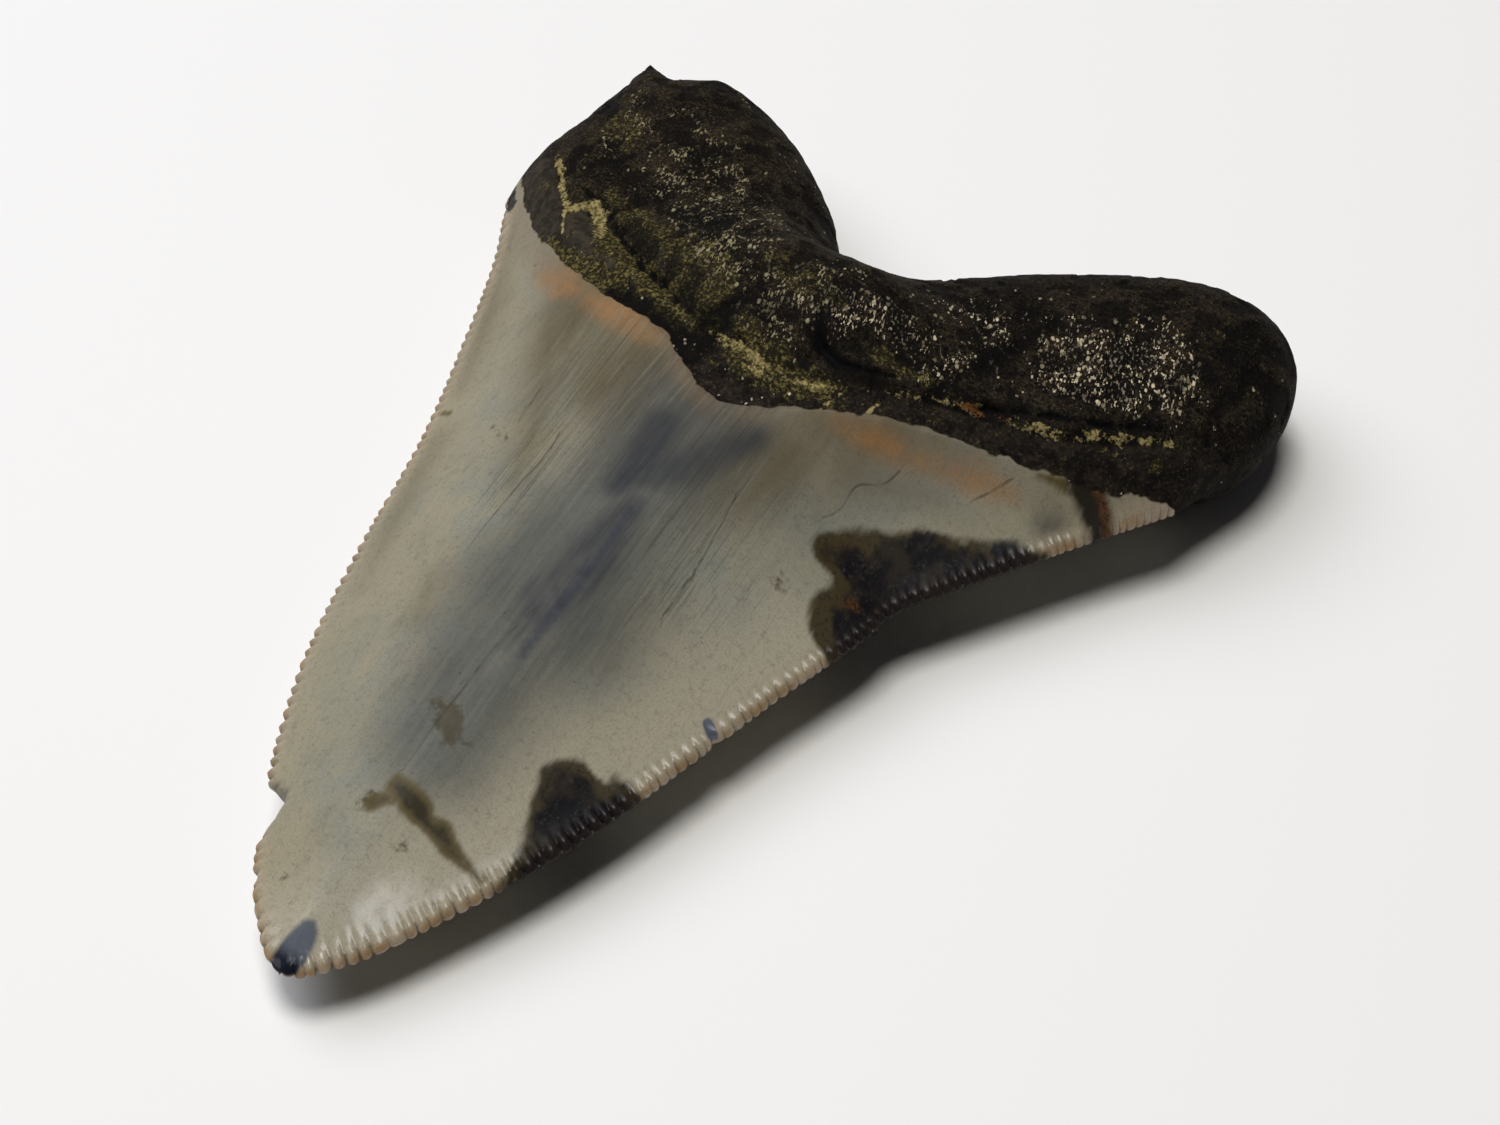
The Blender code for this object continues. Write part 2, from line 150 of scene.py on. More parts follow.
FORAMEN = (5.2, -9.2)
FORAMEN_SIZE = (2, 1.1)
FORAMEN_DEPTH = 0.8
VALLEY = ((-2.6, -12.2), (-1.4, -8), (0.8, -2))
VALLEY_DEPTH = 0.5
VALLEY_WIDTH = 1.7
RELIEF_START = (0.5, 3)
ROOT_WAVE = 0.3
ROOT_WAVE_LENGTH = 7.0

# The fine relief. A chain is a row of (x, y, radius) that sweeps out a blot or a hollow.
VOIDS = (
    ((16.6, -5.6, 0.02), (17.6, -5, 0.2), (18.6, -4.5, 0.08)),
    (
        (19, -4, 0.05), (21.4, -2.6, 0.18), (23.4, -1.5, 0.08), (25.2, -0.4, 0.2),
        (26.6, 0.8, 0.16), (28.6, 2.4, 0),
    ),
    (
        (-18.7, -2.8, 0.1), (-16, -4.8, 0.12), (-14, -6, 0.1), (-11.9, -7.6, 0.14), (-9, -9, 0.1),
        (-6.9, -10.2, 0.02),
    ),
    ((4.4, -7.5, 0.02), (4.9, -8.7, 0.2), (7, -9.4, 0.28), (9, -8.7, 0.2), (11.3, -7.2, 0.02)),
    ((-22.7, -1, 0.02), (-21, -1.6, 0.2), (-19.8, -1.5, 0.02)),
    ((-14.3, 3.2, 0.12), (-13.8, 2.6, 0.16)),
    ((-11.6, -0.6, 0.14), (-10.6, -1.1, 0.2)),
    ((-10.4, -4.1, 0.15),),
    ((-19, -3.5, 0.1),),
    ((-15.3, -6.2, 0.12),),
)
VOID_DEPTH = 0.5
VOID_SLOPE = 0.18
CRUSTS = (
    ((-27.4, 2, 0.15), (-26, 0.9, 0.25), (-24.5, -1, 0.3), (-22.4, -3.3, 0.3)),
    (
        (-22.4, -3.3, 0.25), (-21.4, -2.7, 0.4), (-20.2, -2.5, 0.6), (-19, -3.3, 0.65),
        (-18, -4.6, 0.5), (-17.2, -5.5, 0.3),
    ),
    ((-3, -11.6, 0.05), (0, -11.9, 0.3), (2.4, -12.1, 0.3), (4.4, -12.3, 0.1)),
    ((-0.6, -13.1, 0), (2.6, -12.9, 0.16), (5.2, -12.2, 0.16), (8, -10.9, 0.1)),
    (
        (10.8, -8.7, 0.05), (14, -6.8, 0.1), (17, -5.4, 0.18), (20, -4.4, 0.1), (21.6, -3.6, 0.24),
        (23, -2.8, 0.05), (24.8, -1.5, 0.26), (26.4, -0.3, 0.2), (27.4, 0.5, 0), (28.6, 1.6, 0.26),
        (29.6, 2.4, 0.1), (31.2, 4, -0.1),
    ),
)
CRUST_HEIGHT = 0.14
CRUST_SLOPE = 0.2
CRUST_LUMP = 0.6
LINE_WANDER = ((1.1, 0.18), (0.5, 0.12))  # wavelength and reach of the voids' and crusts' straying
GRAIN = ((1.9, 0.06), (0.8, 0.05))  # wavelength and height of the root's roughness
GRAIN_OFFSET = 5.0
ROUGH_START = (0.1, 0.9)  # the roughness fades in above the enamel's line
ROUGH_RIM = (0.3, 1.2)  # and away from the rim's height
BAND_SMOOTHNESS = 0.85
PIT_SPACING = (1.3, 1.69, 1.3)
PIT_DEPTH = 0.16
PIT_RADIUS = (0.12, 0.34)
PIT_FLOOR = 0.4  # the part of its radius over which a pit is at its deepest
PIT_SHARE = 0.55
PIT_SCATTER = 7.3  # turns a pit's place into its random size

# The markings of the crown. The stains are closed loops, the rest chains.
DARK_STAINS = (
    (
        (28.5, -8), (25, -9), (20.6, -12.1), (17.7, -13.8), (15.5, -15.8), (13.2, -17.9),
        (11.9, -19.8), (12.5, -21.2), (14.2, -21.4), (13.8, -23), (14.6, -25), (16.4, -25.9),
        (20, -26.2), (24, -18),
    ),
    (
        (8.6, -55.6), (7.8, -52.6), (7.4, -49.7), (6.4, -47.3), (6.3, -45.8), (7.7, -44),
        (9.6, -44.1), (10.2, -43), (11.4, -42.6), (13.5, -43.4), (13.5, -48), (11, -54),
    ),
)
BROWN_STAINS = (
    (
        (-0.7, -53.2, 0.6), (0.5, -53.5, 0.9), (1.3, -53.6, 0.85), (2.2, -54, 0.45),
        (3.4, -53.9, 0.72), (4.5, -54.3, 0.42), (6.9, -54.4, 0),
    ),
    ((-1.5, -55, 0.45), (-0.7, -54.2, 0.3)),
    ((22.6, -6, 0), (24.4, -5.1, 0.25)),
    ((-20.9, -22.3, 0.05), (-20.1, -22.4, 0.05)),
)
FAINT_STAINS = (
    ((-1.7, -46.9, 0.5), (-0.8, -47.3, 0.8), (0.2, -48.3, 0.6), (1, -48.2, 0.2)),
    ((-2, -55, 0.4),),
    ((1.6, -56.3, 0.12),),
    ((-3.4, -52.2, 0),),
    ((-4.1, -61.8, 0),),
    ((-14.2, -24.3, -0.1), (-11.8, -25.4, -0.2)),
    ((11.2, -24, 0.12), (11.8, -24.4, 0.1)),
)
STRIPE = ((25.4, -3.9, 1.35), (27.5, -4.8, 0.9), (28.6, -5.3, 0.8))
RUSTS = (
    ((26.4, -3.6, 0.3), (27.6, -4, 0.4), (28.5, -4.9, 0.3)),
    ((16, -6, 0.4), (18.6, -5, 0.5)),
    ((13.2, -18.9, 0.4), (14.3, -17.8, 0.3)),
    ((15, -22.4, 0.5), (16.2, -21.5, 0.3)),
)
TIP_SPOT = ((-0.3, -64.2, 0.95), (-0.4, -65.4, 1.15), (-0.4, -66.4, 1.15))
GREY_CHIP = ((12.9, -35.6, 0.42), (13.4, -35.9, 0.42))
DARK_CHIP = ((-31, 0.7, 0.25), (-30.3, -0.8, 0.5), (-29.6, -1.4, 0.35))
BLUE_ZONES = (
    ((0, -17, 1.4), (0, -28, 2.4), (-0.4, -36, 3.8), (-1, -42, 1.8), (-0.6, -49, 0.8)),
)
DIM_ZONES = (
    ((-17, -13, -3.4), (-13, -19, -2.4), (-9.6, -25.6, -1.6), (-8.4, -29, -2.2)),
    ((-6, -18, 1), (4, -20, 1)),
    ((-19.4, -25, -2.8), (-16.8, -34, -3), (-15, -40, -4.2)),
    ((-9.4, -38, -3.6), (-7.6, -41.6, -3)),
    ((-28, -4, -3.4), (-24.2, -11.5, -2.8), (-20.8, -20, -3.6)),
    ((12, -15, -3.2), (16, -12.4, -3.4), (20, -10.6, -4.6)),
    ((24.6, -8, -3),),
)
SMUDGES = (
    ((-1.2, -20.4, 0.4), (-0.6, -23, 0.7), (-1, -26.2, 0.1)),
    ((5, -17.4, -0.2), (2.2, -22.6, 0.3), (0.2, -24.4, 0.5)),
    ((24, -7.8, -1), (25, -7, -0.8)),
    ((0.9, -27, -0.2), (0.8, -32, 0.9), (0.2, -36.5, 0.8), (-0.4, -41, -1.2)),
)
NAVY_LINE = ((0.9, -27.4), (1.1, -32), (1, -37), (0.9, -41))
NAVY_WIDTH = 0.28
BRUSHED_ZONES = (((-9, -17, 3), (-7, -28, 1.5)), ((0, -18, 3), (4, -27, 3.5)))
ORANGE_ZONES = (
    ((-22.5, -8, -1.1), (-20, -9.6, -0.4), (-17.4, -10.6, 0.2), (-15.4, -11.4, -0.7)),
    ((-13.8, -12, -0.3), (-10, -12.9, 0.5), (-7, -13.9, -0.2)),
    (
        (9, -12.9, -0.7), (12, -11.9, -0.1), (14.6, -11, -0.5), (16.8, -10.1, -0.5), (19, -9, -0.1),
        (21.6, -7.9, -0.7),
    ),
    ((28.8, -3.6, -0.9), (30.6, -2, -0.9)),
)
CRACKS = (
    ((-7.8, -24.2), (-7.4, -26.4), (-7.7, -28.9), (-7.9, -32.9), (-7.9, -35.2)),
    ((-12.4, -20.1), (-12.1, -23.2)),
    ((6.3, -21.9), (7, -28.9)),
    ((6.8, -27.4), (6.9, -32.1)),
    ((14.3, -12.1), (13.7, -13.7), (12.3, -15), (12.2, -17), (11.6, -18.4)),
    ((21.1, -7.3), (20.4, -8.4), (19.3, -10.1)),
    ((-0.3, -38.2), (-0.9, -41.6), (-1, -45.1), (-1.1, -48), (-1.1, -51.8)),
)
CRACK_REACH = 1.2  # how far from a crack its distance still counts
CRACK_CORE = 0.3 * CRACK_REACH  # and up to here it counts in full

# The polish: from full to none over these distances from the edges, and near the tip.
SHINE_RIGHT = (0.6, 2.4)
SHINE_LEFT = (0.3, 1.2)
SHINE_LEFT_SHARE = 0.35
SHINE_TIP = (-60.5, -55.5)
SHINE_TIP_SIDE = (2.5, 5)
SHINE_LEAST = 0.04
STAIN_DULLNESS = 0.9
SPOT_DULLNESS = 0.7
RIM_WIDTH = 0.15

# The markings of the root.
SPECK_ZONES = (
    ((3, -7, 0.2), (4.8, -5.6, 1.2), (8.6, -3.2, 0.2)),
    ((20.2, 2, 1.6), (22.6, 4.4, 3.4), (25.6, 6, 2.6)),
)
SPARSE_ZONES = (
    ((-25, 10.5, 0), (-23, 7, 0.4), (-23.4, 4.6, 0)),
    ((-5, -4, 1), (-1, -8, 1.8), (2, -8, 1.6)),
    ((-19, 6.6, 1), (-14, 4, 3.4), (-9.6, 0.4, 3.8), (-5, -4.6, 2.6)),
    ((0.6, -4, 0.6), (4, -3.6, 1), (12, -4.4, 1.4)),
    ((9.6, 1, 0.6), (13.6, 4.6, 0.8), (14.6, -1.6, 0.6)),
    ((17.4, 3, 1), (19, 6, 1.6), (24, 8.6, 1.8), (28.6, 5, 0.4)),
    ((-15, 9, 0.2), (-21, 11, 0)),
)
SPARSE_SHARE = 0.66
RIGHT_LOBE = (0, 7)  # across these the left lobe's look turns into the right one's
OLIVE_ZONES = (
    ((-20, -0.6, 0), (-16, -2.6, 0.4), (-12, -4.6, 0.4)),
    ((-12, -4.6, 0.6), (-8, -6.2, 1.2), (-4.6, -8, 1.2), (-4, -11, 0.6)),
    ((-17.2, -5.4, 0.5), (-13, -7.6, 0.6), (-10, -9.1, 0.6), (-6, -11, 0.5)),
    ((-21.6, -7.3, 0.2), (-19, -8.5, 0.5), (-15.8, -9.2, 0.5), (-12.4, -10, 0.3)),
    ((-1.6, -10.4, 0.9), (1, -12.2, 1.1), (4.4, -12, 0.9), (7.4, -11.2, 0.1)),
    ((8, -7.4, -0.3), (11, -6.8, 0), (14, -5.6, -0.3)),
    ((-2, -4.6, 0.2), (1.6, -5.4, 0.4), (4.4, -5, 0)),
    ((-24.6, 8, 0.8), (-22.6, 5, 0.6)),
    ((25.4, -2.2, -0.9), (27.3, -1.2, -0.7), (29.4, 0.4, -0.6)),
)
PANELS = (
    ((-28.4, 0.2, 1), (-25.6, -2.8, 1.3), (-22.8, -5.4, 1.2)),
    ((-20.7, -4.2, 0.8), (-19.4, -5.4, 1), (-17, -7.8, 0.8), (-14.8, -8.3, 0.4)),
)
# Painted shade: darker chains along the valley, round the foramen's hollow, down a furrow and along
# the groove's band on the right, where these hollows lie in shade.
PAINTED_SHADES = (
    (
        (-12.6, -10.7, 0.2), (-9, -11.6, 0.5), (-5, -12.8, 0.6), (-3.4, -13.6, 1), (-3, -11, 0.6),
        (-1.6, -8.2, 0.4),
    ),
    ((3.8, -6.8, -0.1), (5, -8.6, 0.3), (7.5, -9.6, 0.3), (10.4, -8.4, 0)),
    ((12, -9.4, -0.5), (19, -6.2, -0.5), (25, -3.4, -0.5)),
    ((17, 7, 0), (16.2, 2, 0.3), (14.8, -2.4, 0.1)),
)
MICRO_ZONES = (((-4.6, -13.2, 0.2), (0.6, -14.8, 0.9), (5.2, -13.2, 0.5)),)
VEINS = (
    ((-22.3, -3.6, 0.1), (-21.6, -4.8, 0.06), (-20.8, -6, 0.02)),
    ((8.3, -10.9, 0.04), (7.9, -12, 0.08), (7.6, -13, 0.04)),
    ((10.9, -9.6, 0.03), (10.5, -11.2, 0.08)),
)

# The fields of the markings: the depth inside a chain, and zones with the width of their fade.
DEPTHS = {
    "stripe": (STRIPE,), "brown": BROWN_STAINS, "faint": FAINT_STAINS, "tip_spot": (TIP_SPOT,),
    "rust": RUSTS, "grey_chip": (GREY_CHIP,), "dark_chip": (DARK_CHIP,), "vein": VEINS,
    "crust": CRUSTS, "void": VOIDS,
}
ZONES = {
    "orange": (1.8, ORANGE_ZONES), "blue": (6.5, BLUE_ZONES), "dim": (6, DIM_ZONES),
    "smudge": (2.2, SMUDGES), "brushed": (6, BRUSHED_ZONES), "dust": (2.4, SPECK_ZONES),
    "sparse": (2.4, SPARSE_ZONES), "olive": (1.4, OLIVE_ZONES), "panel": (1, PANELS),
    "shade": (0.9, PAINTED_SHADES), "micro": (1.5, MICRO_ZONES),
}

# The mesh.
CURVE_STEP = 0.25
ROOT_RIM_STEP = 0.3
CROWN_RINGS = (0.04, 0.11, 0.2, 0.32, 0.48, 0.68, 0.92, 1.2, 1.55, 1.95, 2.4)
ROOT_RINGS = (0.013, 0.05, 0.12, 0.21, 0.33, 0.48, 0.66, 0.87, 1.1, 1.4, 1.7, 2.05, 2.4)
RING_FADE = 2.5  # how far in the rings still follow the serrations and chips
FULL_RINGS = 5  # the rings with a point at every step of a serration
CORNER_CLEARANCE = 0.85
RIM_NEAR = 3.0  # further in, the distance to the rim is that to its smooth line
RING_GAP = 0.012
LINE_STEP = 0.25
ENAMEL_ROWS = (-0.4, -0.16, -0.05, 0.05, 0.16, 0.4)
GROOVE_ROWS = (-1, -0.75, -0.5, -0.25, 0, 0.25, 0.5, 0.75, 1)
CROWN_SPACING = 0.42
ROOT_SPACING = 0.28
ROOT_SPACING_START = -0.5  # above the enamel's line
LABIAL_SPACING = 0.6
SPREAD_CLEARANCE = 0.6  # as a share of the spacing
CHUNK = 2000
DEPTH_LIMIT = 4.0
RESTING = 1e-6  # up to this height a point is on the floor


def smooth_curve(points, step=CURVE_STEP):
    """A Catmull-Rom curve through the points, as points about a step apart."""
    knots = np.array(points, float)
    first = 2 * knots[0] - knots[1]
    last = 2 * knots[-1] - knots[-2]
    knots = np.vstack([first, knots, last])
    pieces = []
    for a, b, c, d in zip(knots, knots[1:], knots[2:], knots[3:]):
        count = max(2, math.ceil(np.linalg.norm(c - b) / step))
        t = (np.arange(count) / count)[:, None]
        curve = 2 * b + (c - a) * t + (2 * a - 5 * b + 4 * c - d) * t**2
        pieces.append((curve + (3 * b - a - 3 * c + d) * t**3) / 2)
    pieces.append(knots[-2:-1])
    return np.vstack(pieces)


def closed_curve(points):
    """The same through a closed row of points, ending where it starts."""
    curve = smooth_curve(tuple(points) * 3)
    first = ((curve - points[0]) ** 2).sum(1)
    ends = np.flatnonzero(first < 1e-12)
    return curve[ends[-2] : ends[-1] + 1]


def arc_lengths(line):
    return np.concatenate([[0], np.cumsum(np.linalg.norm(np.diff(line, axis=0), axis=1))])


def walk(line, lengths):
    """The points of a line at these lengths along it."""
    along = arc_lengths(line)
    return np.stack([np.interp(lengths, along, line[:, i]) for i in (0, 1)], axis=1)


def normals(line):
    """The unit normals on a line's right-hand side."""
    run = np.gradient(line, axis=0)
    run /= np.linalg.norm(run, axis=1)[:, None]
    return np.stack([run[:, 1], -run[:, 0]], axis=1)


def normals_at(line, lengths):
    along = arc_lengths(line)
    return np.stack([np.interp(lengths, along, n) for n in normals(line).T], 1)


def project(points, line):
    """Each point's distance to a line, its side (+1 on the right) and its length along it."""
    start, run = line[:-1], np.diff(line, axis=0)
    square = (run**2).sum(1)
    along = arc_lengths(line)
    away, side, place = np.empty((3, len(points)))
    for first in range(0, len(points), CHUNK):
        some = slice(first, min(first + CHUNK, len(points)))
        gap_x = points[some, :1] - start[:, 0]
        gap_y = points[some, 1:] - start[:, 1]
        t = np.clip((gap_x * run[:, 0] + gap_y * run[:, 1]) / square, 0, 1)
        far = (gap_x - t * run[:, 0]) ** 2 + (gap_y - t * run[:, 1]) ** 2
        index = far.argmin(1)
        rows = np.arange(len(index))
        cross = run[index, 1] * gap_x[rows, index] - run[index, 0] * gap_y[rows, index]
        away[some] = np.sqrt(far[rows, index])
        side[some] = np.sign(cross)
        place[some] = along[index] + t[rows, index] * np.sqrt(square[index])
    return away, side, place


def beyond(points, line):
    """Each point's distance to a line, positive on its left."""
    away, side, _ = project(points, line)
    return -away * side


def station(table, where):
    """The smooth curve through a table of (place, value), read at these places."""
    curve = smooth_curve(table)
    return np.interp(where, curve[:, 0], curve[:, 1])


def smoothstep(low, high, value):
    t = np.clip((value - low) / (high - low), 0, 1)
    return t * t * (3 - 2 * t)


def gauss(value, width):
    return np.exp(-((value / width) ** 2))


def chain_depth(points, chains):
    """How deep each point is inside the nearest chain; it is negative outside."""
    deepest = np.full(len(points), -np.inf)
    for chain in chains:
        knots = np.array(chain if len(chain) > 1 else chain * 2, float)
        for a, b in zip(knots, knots[1:]):
            run = b[:2] - a[:2]
            gap = points - a[:2]
            t = np.clip(gap @ run / max(run @ run, 1e-9), 0, 1)
            away = np.linalg.norm(gap - t[:, None] * run, axis=1)
            deepest = np.maximum(deepest, a[2] + t * (b[2] - a[2]) - away)
    return deepest


def inside(points, loop):
    """Whether each point is inside a closed loop."""
    found = np.empty(len(points), bool)
    ends = np.roll(loop, -1, axis=0)
    for first in range(0, len(points), CHUNK):
        some = slice(first, first + CHUNK)
        x, y = points[some, :1], points[some, 1:]
        spans = (loop[:, 1] > y) != (ends[:, 1] > y)
        with np.errstate(divide="ignore", invalid="ignore"):
            slope = (ends[:, 0] - loop[:, 0]) / (ends[:, 1] - loop[:, 1])
            crossing = loop[:, 0] + (y - loop[:, 1]) * slope
        found[some] = (spans & (x < crossing)).sum(1) % 2 == 1
    return found


def loop_depth(points, loops):
    """How deep each point is inside the nearest closed loop; it is negative outside."""
    deepest = np.full(len(points), -np.inf)
    for loop in loops:
        curve = closed_curve(loop)
        away = project(points, curve)[0]
        deepest = np.maximum(deepest, np.where(inside(points, curve[:-1]), away, -away))
    return deepest


def waves(points, length, offset=0.0):
    """Smooth noise from -1 to 1 with this wavelength, at 3-D points."""
    spots = points / length
    return np.array([noise.noise(Vector((x, y, z + offset))) for x, y, z in spots])


class Edge:
    """A cutting edge from its shoulder to the tip, with its serrations and chips."""

    def __init__(self, knots, inward, settings, rng):
        self.line = smooth_curve(knots)
        self.inward = inward  # -1 where the inside is on the line's left
        self.settings = settings
        self.total = arc_lengths(self.line)[-1]
        pitch = settings["pitch"]
        count = round(2 * self.total / sum(pitch))
        lengths = np.linspace(*pitch, count) * rng.uniform(*SERRATION_UNEVEN, count)
        ends = np.cumsum(lengths)
        self.ends = np.concatenate([[0], ends * self.total / ends[-1]])
        self.wear = rng.uniform(*SERRATION_WEAR, count)

    def stations(self):
        """The lengths along the edge of its points, a few to each serration."""
        steps = np.array(SERRATION_STEPS)
        return (self.ends[:-1, None] + steps * np.diff(self.ends)[:, None]).ravel()

    def chip_depth(self, along):
        depth = np.zeros_like(along)
        for place, before, after, deep in self.settings["chips"]:
            away = np.where(along < place, (place - along) / before, (along - place) / after)
            depth = np.maximum(depth, deep * (1 - smoothstep(0, 1, away)))
        return depth

    def gap(self, along):
        """How much of a gap between serrations there is, from 0 to 1, and its own wear."""
        index = np.searchsorted(self.ends, along, side="right") - 1
        index = np.clip(index, 0, len(self.wear) - 1)
        phase = (along - self.ends[index]) / (self.ends[index + 1] - self.ends[index])
        bump = np.sin(math.pi * np.clip(phase, 0, 1)) ** self.settings["roundness"]
        return 1 - bump, self.wear[index]

    def cut(self, along):
        """How far the rim lies inside the edge's line."""
        gap, wear = self.gap(along)
        deep = np.interp(along, (0, self.total), SERRATION_DEPTH) * wear
        deep *= station(self.settings["cuts"], along)
        broken = self.chip_depth(along)
        return deep * gap * (1 - np.minimum(broken, 1)) + broken

    def flute(self, away, along):
        """How deep the gaps run into the faces at this distance from the edge."""
        gap, wear = self.gap(along)
        away = np.maximum(away - self.chip_depth(along), 0)
        reach = station(self.settings["flutes"], along)
        deep = np.interp(along, (0, self.total), FLUTE_DEPTH)
        return deep * wear * gap * gauss(away, reach)

    def bead(self, away, along):
        """How high the serrations stand above the faces at this distance from the edge."""
        gap, wear = self.gap(along)
        size = np.interp(along, (0, self.total), self.settings["pitch"])
        swell = gauss(away / size - BEAD_PLACE, BEAD_WIDTH)
        whole = 1 - smoothstep(0, BEAD_CHIP, self.chip_depth(along))
        return BEAD_HEIGHT * size * wear * (1 - gap) * swell * whole

    def rings(self, offsets, full):
        """Points at these distances in from the rim, the first full rings with every step."""
        along = self.stations()
        found = []
        for number, offset in enumerate(offsets):
            step = (1, 2, 4)[min(number // full, 2)]
            some = along[::step]
            inward = offset + self.cut(some) * math.exp(-offset / RING_FADE)
            side = self.inward * normals_at(self.line, some)
            found.append(walk(self.line, some) + inward[:, None] * side)
        return found


class Plan:
    """The lines of the tooth, and what lies where on them."""

    def __init__(self):
        rng = np.random.default_rng(SERRATION_SEED)
        self.right = Edge(RIGHT_EDGE, 1, RIGHT_SIDE, rng)
        self.left = Edge(LEFT_EDGE, -1, LEFT_SIDE, rng)
        lobes = smooth_curve(ROOT_OUTLINE + (LEFT_PEAK,))
        self.root = np.vstack([lobes[:-1], smooth_curve(BROKEN_SIDE)])
        self.enamel = smooth_curve(ENAMEL_LINE)
        self.labial_enamel = smooth_curve(LABIAL_ENAMEL_LINE)
        self.groove = smooth_curve(GROOVE)
        self.valley = smooth_curve(VALLEY)
        self.rim = self.rim_points()

    def root_stations(self):
        total = arc_lengths(self.root)[-1]
        return np.linspace(0, total, round(total / ROOT_RIM_STEP) + 1)[1:-1]

    def rim_points(self):
        """The closed rim, anticlockwise from the right shoulder."""
        right = self.right.rings((0.0,), 1)[0]
        left = self.left.rings((0.0,), 1)[0]
        return np.vstack([walk(self.root, self.root_stations()), left, [TIP], right[::-1]])

    def base_distance(self, points):
        lines = (self.left.line, self.right.line, self.root)
        return np.min([project(points, line)[0] for line in lines], axis=0)

    def measure(self, points):
        """How each point lies to the lines, by name."""
        left, _, left_along = project(points, self.left.line)
        right, _, right_along = project(points, self.right.line)
        edge = np.minimum(left, right)
        base = np.minimum(edge, project(points, self.root)[0])
        rim = base.copy()
        near = base < RIM_NEAR
        rim[near] = project(points[near], np.vstack([self.rim, self.rim[:1]]))[0]
        flutes = self.left.flute(left, left_along), self.right.flute(right, right_along)
        beads = self.left.bead(left, left_along), self.right.bead(right, right_along)
        return {
            "x": points[:, 0],
            "y": points[:, 1],
            "left": left,
            "right": right,
            "edge": edge,
            "base": base,
            "rim": rim,
            "flute": np.maximum(*flutes),
            "bead": np.maximum(*beads),
            "above": beyond(points, self.enamel),  # in the root it is positive
            "labial_above": beyond(points, self.labial_enamel),
            "groove": beyond(points, self.groove),
            "valley": project(points, self.valley)[0],
        }


def quarter_round(value):
    """The rounding of a border, from 0 to 1 as the value does."""
    t = np.clip(value, 0, 1)
    return np.sqrt(1 - (1 - t) ** 2)


def crown_rise(m, bulge, flatness):
    """The crown's height over the rim: it swells from a sharp edge to its full height."""
    t = np.clip(m["base"] / station(REACH, m["y"]), 0, 1)
    swell = t * (2 - t)
    wing = t * t * (3 - 2 * t)
    rise = station(bulge, m["y"]) * (swell + flatness * (wing - swell))
    return quarter_round(m["rim"] / EDGE_ROUNDING) * (EDGE_THICKNESS / 2 + rise)


def serrated(m, crown, share):
    """What the serrations add to a face and the gaps between them take away."""
    return (m["bead"] - np.minimum(m["flute"], FLUTE_SHARE * crown)) * (1 - share)


def root_share(above):
    """How much of a surface is the root's, from 0 in the crown to 1."""
    return smoothstep(-ROOT_BLEND / 2, ROOT_BLEND / 2, above)


def root_relief(m):
    """The waves and hollows of the root's upper surface."""
    flat = np.stack([m["x"], m["y"], np.zeros(len(m["x"]))], 1)
    groove = station(GROOVE_DEPTH, m["x"]) * gauss(m["groove"], GROOVE_WIDTH)
    across = (m["x"] - FORAMEN[0]) / FORAMEN_SIZE[0]
    along = (m["y"] - FORAMEN[1]) / FORAMEN_SIZE[1]
    foramen = FORAMEN_DEPTH * np.exp(-(across**2) - along**2)
    valley = VALLEY_DEPTH * gauss(m["valley"], VALLEY_WIDTH)
    ledge = ENAMEL_LEDGE * gauss(m["above"] - LEDGE_WIDTH, LEDGE_WIDTH)
    return ROOT_WAVE * waves(flat, ROOT_WAVE_LENGTH) - groove - foramen - valley - ledge


def lingual(m):
    """The height of the upper surface."""
    share = root_share(m["above"])
    crown = crown_rise(m, LINGUAL_CREST, WING_FLATNESS)
    across = (m["x"] - ROOT_CENTRE[0]) / ROOT_CENTRE_SPREAD[0]
    along = m["y"] - ROOT_CENTRE[1]
    along /= np.where(along < 0, ROOT_CENTRE_SPREAD[1], ROOT_CENTRE_SPREAD[2])
    centre = (ROOT_CENTRE_HEIGHT - ROOT_LOBE_HEIGHT) * np.exp(-(across**2 + along**2) / 2)
    root = (ROOT_LOBE_HEIGHT + centre) * quarter_round(m["base"] / ROOT_REACH)
    inner = smoothstep(*RELIEF_START, m["base"])
    body = crown + share * (root - crown) + share * inner * root_relief(m)
    body += serrated(m, crown, share)
    step = ENAMEL_STEP * smoothstep(-ENAMEL_STEP_WIDTH, ENAMEL_STEP_WIDTH, m["above"])
    body -= step * smoothstep(*STEP_START, m["base"])
    return station(RIM_HEIGHT, m["y"]) + EDGE_BLUNT + body


def labial(m):
    """The height of the lower surface, cut flat where the tooth rests."""
    share = root_share(m["labial_above"])
    crown = crown_rise(m, LABIAL_BULGE, 0)
    hollow = ROOT_HOLLOW * gauss(m["x"], ROOT_HOLLOW_SPREAD)
    root = (ROOT_LABIAL_DEPTH - hollow) * quarter_round(m["base"] / ROOT_REACH)
    body = crown + share * (root - crown)
    body += serrated(m, crown, share)
    return np.maximum(station(RIM_HEIGHT, m["y"]) - EDGE_BLUNT - body, 0)


def spread_points(plan, spacing):
    """Points in staggered rows inside the rim's rings."""
    low, high = plan.rim.min(0), plan.rim.max(0)
    rows = np.arange(low[1], high[1], spacing * math.sqrt(3) / 2)
    columns = np.arange(low[0], high[0], spacing)
    shift = spacing / 2 * (np.arange(len(rows)) % 2)
    x = (columns[None] + shift[:, None]).ravel()
    points = np.stack([x, np.repeat(rows, len(columns))], 1)
    points = points[inside(points, plan.rim)]
    return points[plan.base_distance(points) > CROWN_RINGS[-1] + spacing / 2]


def tree_of(points):
    """The points, ready to be searched by place."""
    tree = KDTree(len(points))
    for i, (x, y) in enumerate(points):
        tree.insert((x, y, 0), i)
    tree.balance()
    return tree


